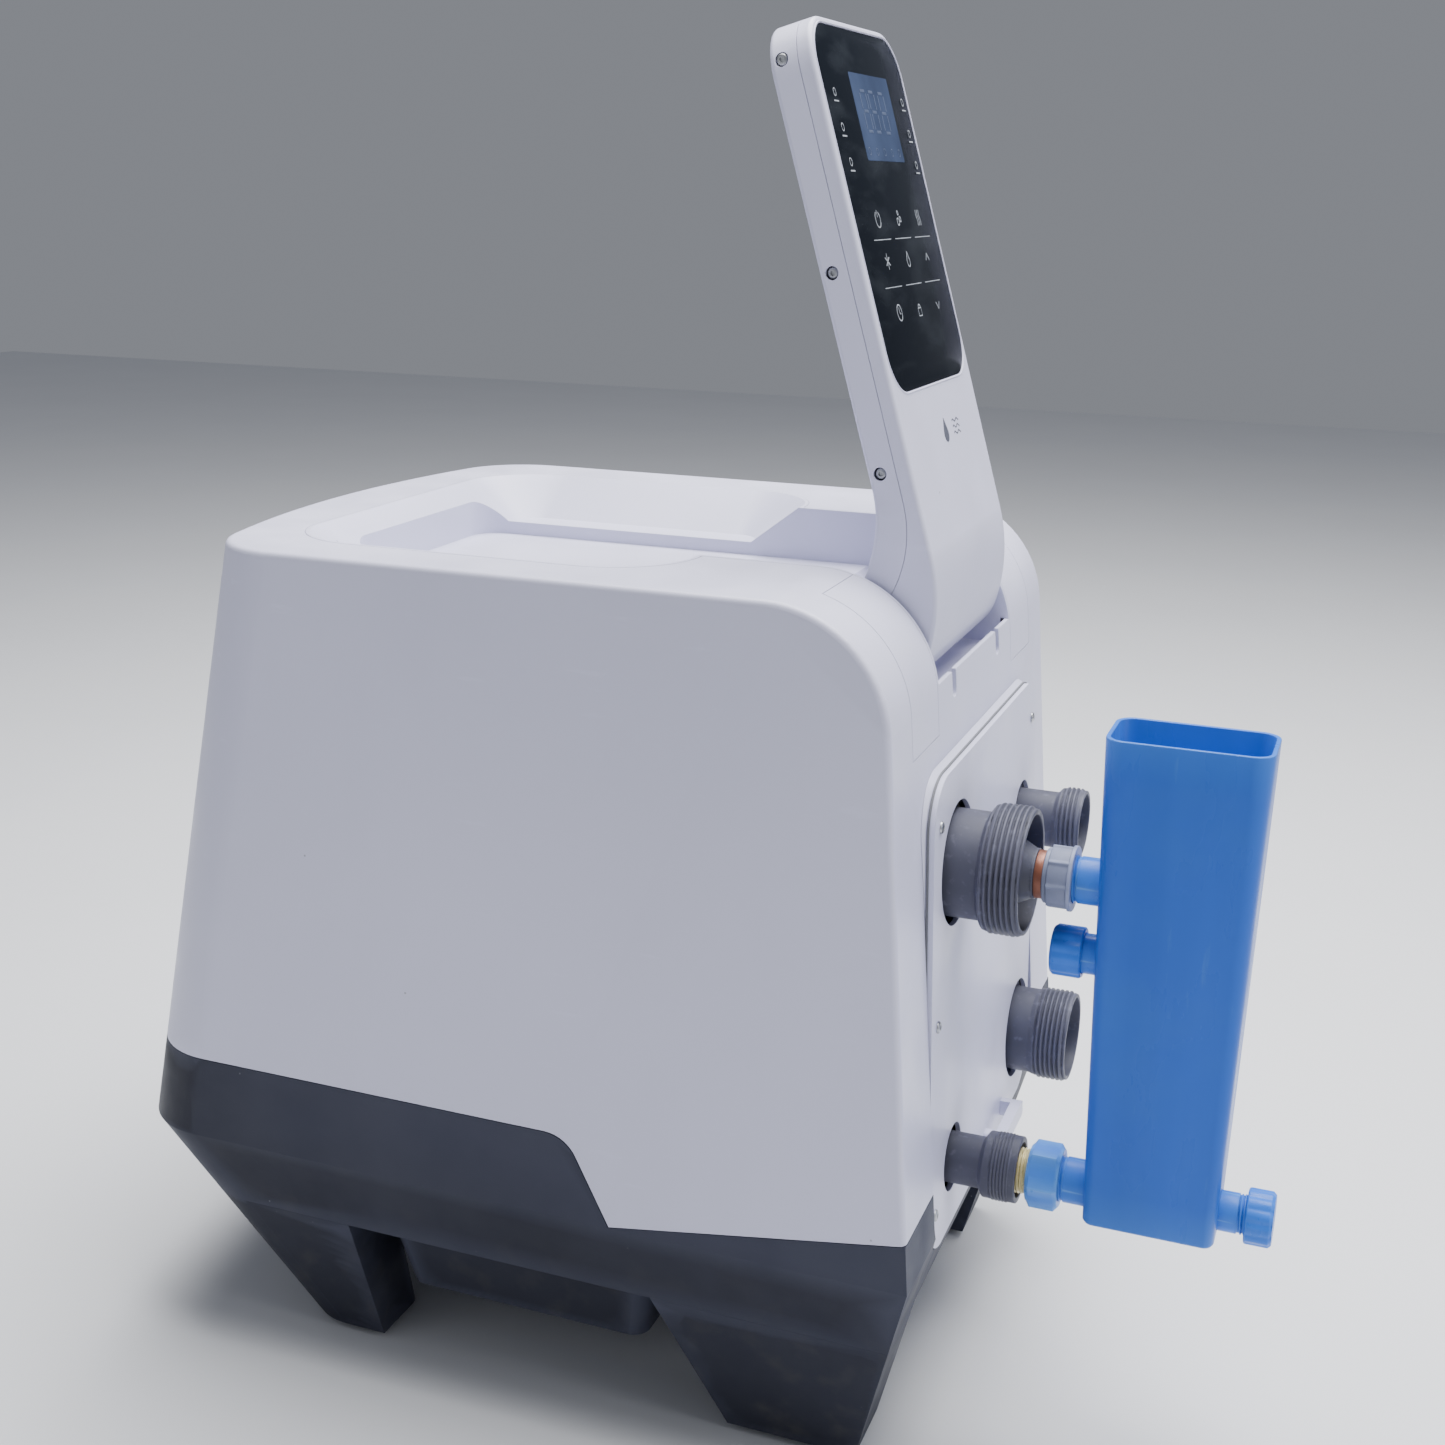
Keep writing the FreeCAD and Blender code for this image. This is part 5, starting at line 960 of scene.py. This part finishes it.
def build_vessel(sizes):
    low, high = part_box("vessel")
    inside = [Vector(corner) for corner in OPENINGS["vessel_inside"]["box_m"]]
    middle = (inside[0] + inside[1]) / 2
    half_x, half_y = sizes.vessel_long / 2, (high.y - low.y) / 2
    wall, lip = sizes.vessel_wall, 0.0009
    top, foot = high.z, low.z

    def ring(height, inset):
        share = (top - height) / (top - foot)
        loop = rounded_loop(half_x - sizes.vessel_taper_long * share - inset,
                            half_y - sizes.vessel_taper_wide * share - inset,
                            sizes.vessel_corner * (1.0 - 0.45 * share) - inset * 0.7)
        return [Vector((middle.x + u, middle.y + v, height)) for u, v in loop]

    steps = [(foot, 0.003), (foot + 0.0009, 0.0012), (foot + 0.003, 0.0)]
    steps += [(foot + 0.003 + (top - foot - 0.004) * share / 12, 0.0) for share in range(1, 13)]
    steps += [(top - lip * 0.3, lip * 0.3), (top, lip), (top, wall - lip), (top - lip * 0.3, wall - lip * 0.3),
              (top - lip, wall), (foot + 0.008, wall), (foot + 0.0048, wall + 0.001), (foot + 0.004, wall + 0.004)]
    form = bmesh.new()
    capped(form, [ring(*step) for step in steps])
    piece("vessel_tube", form, "vessel", "housing", ["vessel"])

    nut, upper, lower, outlet = (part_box(name) for name in ("union_nut", "middle_cap", "hex_nut", "outlet_cap"))
    left, right = middle.x - half_x + 0.006, middle.x + half_x - 0.012
    radius, small = sizes.stub_radius, sizes.cap_stub_radius
    stubs = (("union_nut", nut[0].x + 0.0002, left, radius), ("hex_nut", lower[0].x + 0.0006, left + 0.006, radius),
             ("middle_cap", upper[0].x + 0.0042, left, small), ("outlet_cap", right, outlet[1].x - 0.0052, small))
    form = bmesh.new()
    for name, start, end, reach in stubs:
        place = axis_through(name)
        root = reach - sizes.stub_depth
        lathed(form, eased([(start, 0.010), (start, root), (end, root), (end, 0.010)], 0.0006), place)
        wall = end - 0.008 if end > start and name != "outlet_cap" else start + 0.008
        threaded = (start + 0.001, start + (wall - start) * 0.68) if name != "outlet_cap" else (
            end - (end - wall) * 0.68, end - 0.001)
        screw_thread(form, *threaded, root, sizes.stub_depth, sizes.stub_pitch, place)
        plain = (threaded[1], end) if name != "outlet_cap" else (start, threaded[0])
        lathed(form, eased([(plain[0], root - 0.001), (plain[0], reach), (plain[1], reach),
                            (plain[1], root - 0.001)], 0.0007), place)
    piece("vessel_stubs", form, "fitting", "housing")


def ribbed(count, height, start, end, sharpness, bore):
    """Grip ribs between two places along an axis, for radii above a bore."""
    def shape(angle, along, radius):
        if radius < bore or not start <= along <= end:
            return radius
        wave = (1 + math.cos(angle * count)) / 2
        return radius + height * (wave ** sharpness - 1.0)
    return shape


def build_fittings(sizes):
    low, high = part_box("union_nut")
    bore = sizes.stub_radius + 0.0004
    crest = (high.y - low.y) / 2
    start, end = low.x, high.x
    flange, rib = 0.0025, 0.0012
    inner = crest - rib
    profile = [(start, bore), (start, inner - 0.0027), (start + 0.0006, inner - 0.0021),
               (start + 0.0028, inner - 0.0021),
               (start + 0.0034, crest - 0.0002), (start + 0.0040, crest), (end - flange - 0.0004, crest),
               (end - flange, crest + 0.00001), (end - 0.0005, crest + 0.00001), (end, crest - 0.0004), (end, bore)]
    form = bmesh.new()
    lathed(form, profile, axis_through("union_nut"), 256,
           ribbed(sizes.nut_ribs, rib, start + 0.0033, end - flange - 0.0003, 14.0, bore + 0.001))
    piece("union_nut_ribbed", form, "nut", "supply_nut", ["union_nut"])

    low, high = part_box("hex_nut")
    flat = min(high.z - low.z, high.y - low.y) / 2
    start, end = low.x, high.x
    slope = 0.0026
    profile = [(start, bore), (start, flat * 0.95), (start + slope, flat * 1.16), (end - slope, flat * 1.16),
               (end, flat * 0.98), (end, bore)]
    form = bmesh.new()
    lathed(form, profile, axis_through("hex_nut"), 192, hex_shape(flat, bore + 0.001))
    piece("hex_nut_chamfered", form, "fitting", "return_nut", ["hex_nut"], 24.0)

    for node, body, closed_low in (("middle_cap", "upper_cap", True), ("outlet_cap", "side_cap", False)):
        low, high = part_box(node)
        crest = (high.z - low.z) / 2
        bore = sizes.cap_stub_radius + 0.0004
        start, end = low.x, high.x
        shut = 0.003
        if closed_low:
            profile = [(start, 0.0004), (start, crest - 0.002), (start + 0.002, crest),
                       (end - 0.001, crest), (end, crest - 0.001),
                       (end, bore), (start + shut, bore), (start + shut, 0.0004)]
        else:
            profile = [(start, bore), (start, crest - 0.001), (start + 0.001, crest), (end - 0.002, crest),
                       (end, crest - 0.002), (end, 0.0004), (end - shut, 0.0004), (end - shut, bore)]
        form = bmesh.new()
        lathed(form, eased(profile, 0.0005), axis_through(node), 192,
               ribbed(sizes.cap_ribs, 0.0008, start + 0.0012, end - 0.0002, 0.7, bore + 0.001))
        piece(f"{node}_ribbed", form, "fitting", body, [node])

    low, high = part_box("copper_ring")
    crest = (high.y - low.y) / 2
    bore = 0.011
    form = bmesh.new()
    lathed(form, eased([(low.x, bore), (low.x, crest), (high.x, crest), (high.x, bore)], 0.0008, 4),
           axis_through("copper_ring"))
    piece("copper_ring_rounded", form, "copper", "housing", ["copper_ring"])

    low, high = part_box("brass_nipple")
    place = axis_through("brass_nipple")
    root = sizes.stub_radius - sizes.stub_depth
    shoulder = (high.y - low.y) / 2
    form = bmesh.new()
    lathed(form, eased([(low.x, 0.010), (low.x, shoulder), (low.x + 0.008, shoulder), (low.x + 0.010, root),
                        (high.x, root), (high.x, 0.010)], 0.0005), place)
    screw_thread(form, low.x + 0.0105, high.x - 0.0004, root, sizes.stub_depth, sizes.stub_pitch, place)
    piece("brass_nipple_threaded", form, "brass", "housing", ["brass_nipple"])
    dressed(["reducer_cone"], "tail")


# ---------------------------------------------------------------- inner works

WORKS = {
    "enamel": ("compressor", "fan_motor", "pump_motor", "blower_motor"),
    "rubber": ("compressor_mounts", "cable_gland"),
    "fins": ("evaporator_coil",),
    "works_grey": ("condenser",),
    "steel": ("equipment_cradles", "fan_post"),
    "brass": ("expansion_valve",),
    "tube": ("refrigerant_lines",),
    "works_black": ("fan_rotor", "pump_housing", "blower_housing"),
    "works_white": ("pump_impeller", "blower_rotor", "control_box", "control_box_lid"),
    "board": ("control_board",),
    "braid": ("inner_hoses",),
}


def build_works():
    for finish, nodes in WORKS.items():
        dressed(nodes, finish)


# ---------------------------------------------------------------- stage

def soft_light(name, place, target, size, power, tint=(1.0, 1.0, 1.0)):
    data = bpy.data.lights.new(name, "AREA")
    data.shape = "RECTANGLE"
    data.size = size[0]
    data.size_y = size[1]
    data.energy = power
    data.color = tint
    lamp = bpy.data.objects.new(name, data)
    lamp.location = place
    lamp.rotation_euler = (Vector(target) - Vector(place)).to_track_quat("-Z", "Y").to_euler()
    bpy.context.scene.collection.objects.link(lamp)


def floor_finish():
    finish = Finish("pale_floor", (0.74, 0.75, 0.78), 0.85, Specular_IOR_Level=0.1)
    finish.cloud(3.0, 4.0, 0.3, 0.7, 0.4, (0.70, 0.71, 0.74))
    finish.sheen(30.0, 4.0, 0.65, 0.85)
    finish.grain(120.0, 4.0, 0.0003, 0.2)
    return finish.material


def build_stage(stage):
    form = bmesh.new()
    reach = stage.floor_reach
    bmesh.ops.create_grid(form, x_segments=12, y_segments=12, size=reach)
    mesh = bpy.data.meshes.new("floor")
    form.to_mesh(mesh)
    form.free()
    mesh.materials.append(floor_finish())
    floor = bpy.data.objects.new("floor", mesh)
    bpy.context.scene.collection.objects.link(floor)

    world = bpy.data.worlds.new("pale_room")
    world.use_nodes = True
    world.node_tree.nodes["Background"].inputs["Color"].default_value = (0.86, 0.90, 1.0, 1.0)
    world.node_tree.nodes["Background"].inputs["Strength"].default_value = 0.27
    bpy.context.scene.world = world
    middle = (0.0, 0.0, 0.45)
    soft_light("overhead", (0.2, 0.5, 2.7), middle, (2.2, 2.2), 205.0)
    soft_light("port_side", (2.4, -0.4, 1.7), middle, (1.4, 1.8), 22.0)
    soft_light("near_fill", (-1.4, -2.4, 1.2), middle, (1.8, 1.8), 5.0, (0.95, 0.97, 1.0))

    yaw, pitch, roll = stage.camera_yaw, stage.camera_pitch, stage.camera_roll
    data = bpy.data.cameras.new("camera")
    data.lens = stage.camera_lens
    data.sensor_width = 36.0
    data.shift_x = -0.0041
    data.shift_y = -0.0097
    camera = bpy.data.objects.new("camera", data)
    ahead = Vector((-math.sin(yaw) * math.cos(pitch), math.cos(yaw) * math.cos(pitch), -math.sin(pitch)))
    level = Vector((math.cos(yaw), math.sin(yaw), 0.0))
    down = ahead.cross(level)
    right = level * math.cos(roll) - down * math.sin(roll)
    up = -ahead.cross(right)
    turn = Matrix((right, up, -ahead)).transposed().to_4x4()
    camera.matrix_world = Matrix.Translation(Vector(stage.camera_place)) @ turn
    bpy.context.scene.collection.objects.link(camera)
    bpy.context.scene.camera = camera


# ---------------------------------------------------------------- operators and panel

class HEATPUMP_OT_finishes(bpy.types.Operator):
    """Mix every finish from the chosen colours"""
    bl_idname = "heatpump.finishes"
    bl_label = "Finishes"

    def execute(self, context):
        mix_finishes(context.scene.heatpump_colours)
        return {"FINISHED"}


class HEATPUMP_OT_housing(bpy.types.Operator):
    """Build the moulded shell, the top tray and the shoulder covers"""
    bl_idname = "heatpump.housing"
    bl_label = "Housing"

    def execute(self, context):
        build_housing(context.scene.heatpump_sizes)
        return {"FINISHED"}


class HEATPUMP_OT_grilles(bpy.types.Operator):
    """Build the intake grille and the fan guard"""
    bl_idname = "heatpump.grilles"
    bl_label = "Grilles"

    def execute(self, context):
        build_grilles(context.scene.heatpump_sizes)
        return {"FINISHED"}


class HEATPUMP_OT_base(bpy.types.Operator):
    """Build the dark tub, the pan, the legs and their pads"""
    bl_idname = "heatpump.base"
    bl_label = "Base"

    def execute(self, context):
        build_base(context.scene.heatpump_sizes)
        return {"FINISHED"}


class HEATPUMP_OT_plate(bpy.types.Operator):
    """Build the port plate with its frame, screws and ledge"""
    bl_idname = "heatpump.plate"
    bl_label = "Port Plate"

    def execute(self, context):
        build_plate(context.scene.heatpump_sizes)
        return {"FINISHED"}


class HEATPUMP_OT_tails(bpy.types.Operator):
    """Build the four threaded hose tails and their collars"""
    bl_idname = "heatpump.tails"
    bl_label = "Hose Tails"

    def execute(self, context):
        build_tails(context.scene.heatpump_sizes)
        return {"FINISHED"}


class HEATPUMP_OT_arm(bpy.types.Operator):
    """Build the folding arm's shells, screws and hinge"""
    bl_idname = "heatpump.arm"
    bl_label = "Control Arm"

    def execute(self, context):
        build_arm(context.scene.heatpump_sizes)
        return {"FINISHED"}


class HEATPUMP_OT_display(bpy.types.Operator):
    """Build the display cover, the screen and the printed symbols"""
    bl_idname = "heatpump.display"
    bl_label = "Display"

    def execute(self, context):
        build_display(context.scene.heatpump_sizes)
        return {"FINISHED"}


class HEATPUMP_OT_vessel(bpy.types.Operator):
    """Build the tapered vessel and its stubs"""
    bl_idname = "heatpump.vessel"
    bl_label = "Vessel"

    def execute(self, context):
        build_vessel(context.scene.heatpump_sizes)
        return {"FINISHED"}


class HEATPUMP_OT_fittings(bpy.types.Operator):
    """Build the nuts, caps, cone, ring and nipple between tails and vessel"""
    bl_idname = "heatpump.fittings"
    bl_label = "Fittings"

    def execute(self, context):
        build_fittings(context.scene.heatpump_sizes)
        return {"FINISHED"}


class HEATPUMP_OT_works(bpy.types.Operator):
    """Finish the works inside the housing"""
    bl_idname = "heatpump.works"
    bl_label = "Inner Works"

    def execute(self, context):
        build_works()
        return {"FINISHED"}


class HEATPUMP_OT_stage(bpy.types.Operator):
    """Lay the floor, hang the lights and set the camera"""
    bl_idname = "heatpump.stage"
    bl_label = "Stage"

    def execute(self, context):
        build_stage(context.scene.heatpump_stage)
        return {"FINISHED"}


BUILD_ORDER = (HEATPUMP_OT_finishes, HEATPUMP_OT_stage, HEATPUMP_OT_housing, HEATPUMP_OT_grilles,
               HEATPUMP_OT_base, HEATPUMP_OT_plate, HEATPUMP_OT_tails, HEATPUMP_OT_arm, HEATPUMP_OT_display,
               HEATPUMP_OT_vessel, HEATPUMP_OT_fittings, HEATPUMP_OT_works)


class HEATPUMP_PT_sidebar(bpy.types.Panel):
    """Colours, sizes and build steps of the heat pump unit"""
    bl_idname = "HEATPUMP_PT_sidebar"
    bl_label = "Heat Pump Unit"
    bl_space_type = "VIEW_3D"
    bl_region_type = "UI"
    bl_category = "Heat Pump"

    def draw(self, context):
        scene = context.scene
        for settings in (scene.heatpump_colours, scene.heatpump_sizes, scene.heatpump_stage):
            box = self.layout.box()
            for name in type(settings).__annotations__:
                box.prop(settings, name)
        for step in BUILD_ORDER:
            self.layout.operator(step.bl_idname)


CLASSES = (HeatPumpColours, HeatPumpSizes, HeatPumpStage, *BUILD_ORDER, HEATPUMP_PT_sidebar)


def register():
    for item in CLASSES:
        bpy.utils.register_class(item)
    bpy.types.Scene.heatpump_colours = PointerProperty(type=HeatPumpColours)
    bpy.types.Scene.heatpump_sizes = PointerProperty(type=HeatPumpSizes)
    bpy.types.Scene.heatpump_stage = PointerProperty(type=HeatPumpStage)


def unregister():
    del bpy.types.Scene.heatpump_stage
    del bpy.types.Scene.heatpump_sizes
    del bpy.types.Scene.heatpump_colours
    for item in reversed(CLASSES):
        bpy.utils.unregister_class(item)


def main():
    register()
    for step in BUILD_ORDER:
        family, action = step.bl_idname.split(".")
        getattr(getattr(bpy.ops, family), action)()


if __name__ == "__main__":
    main()
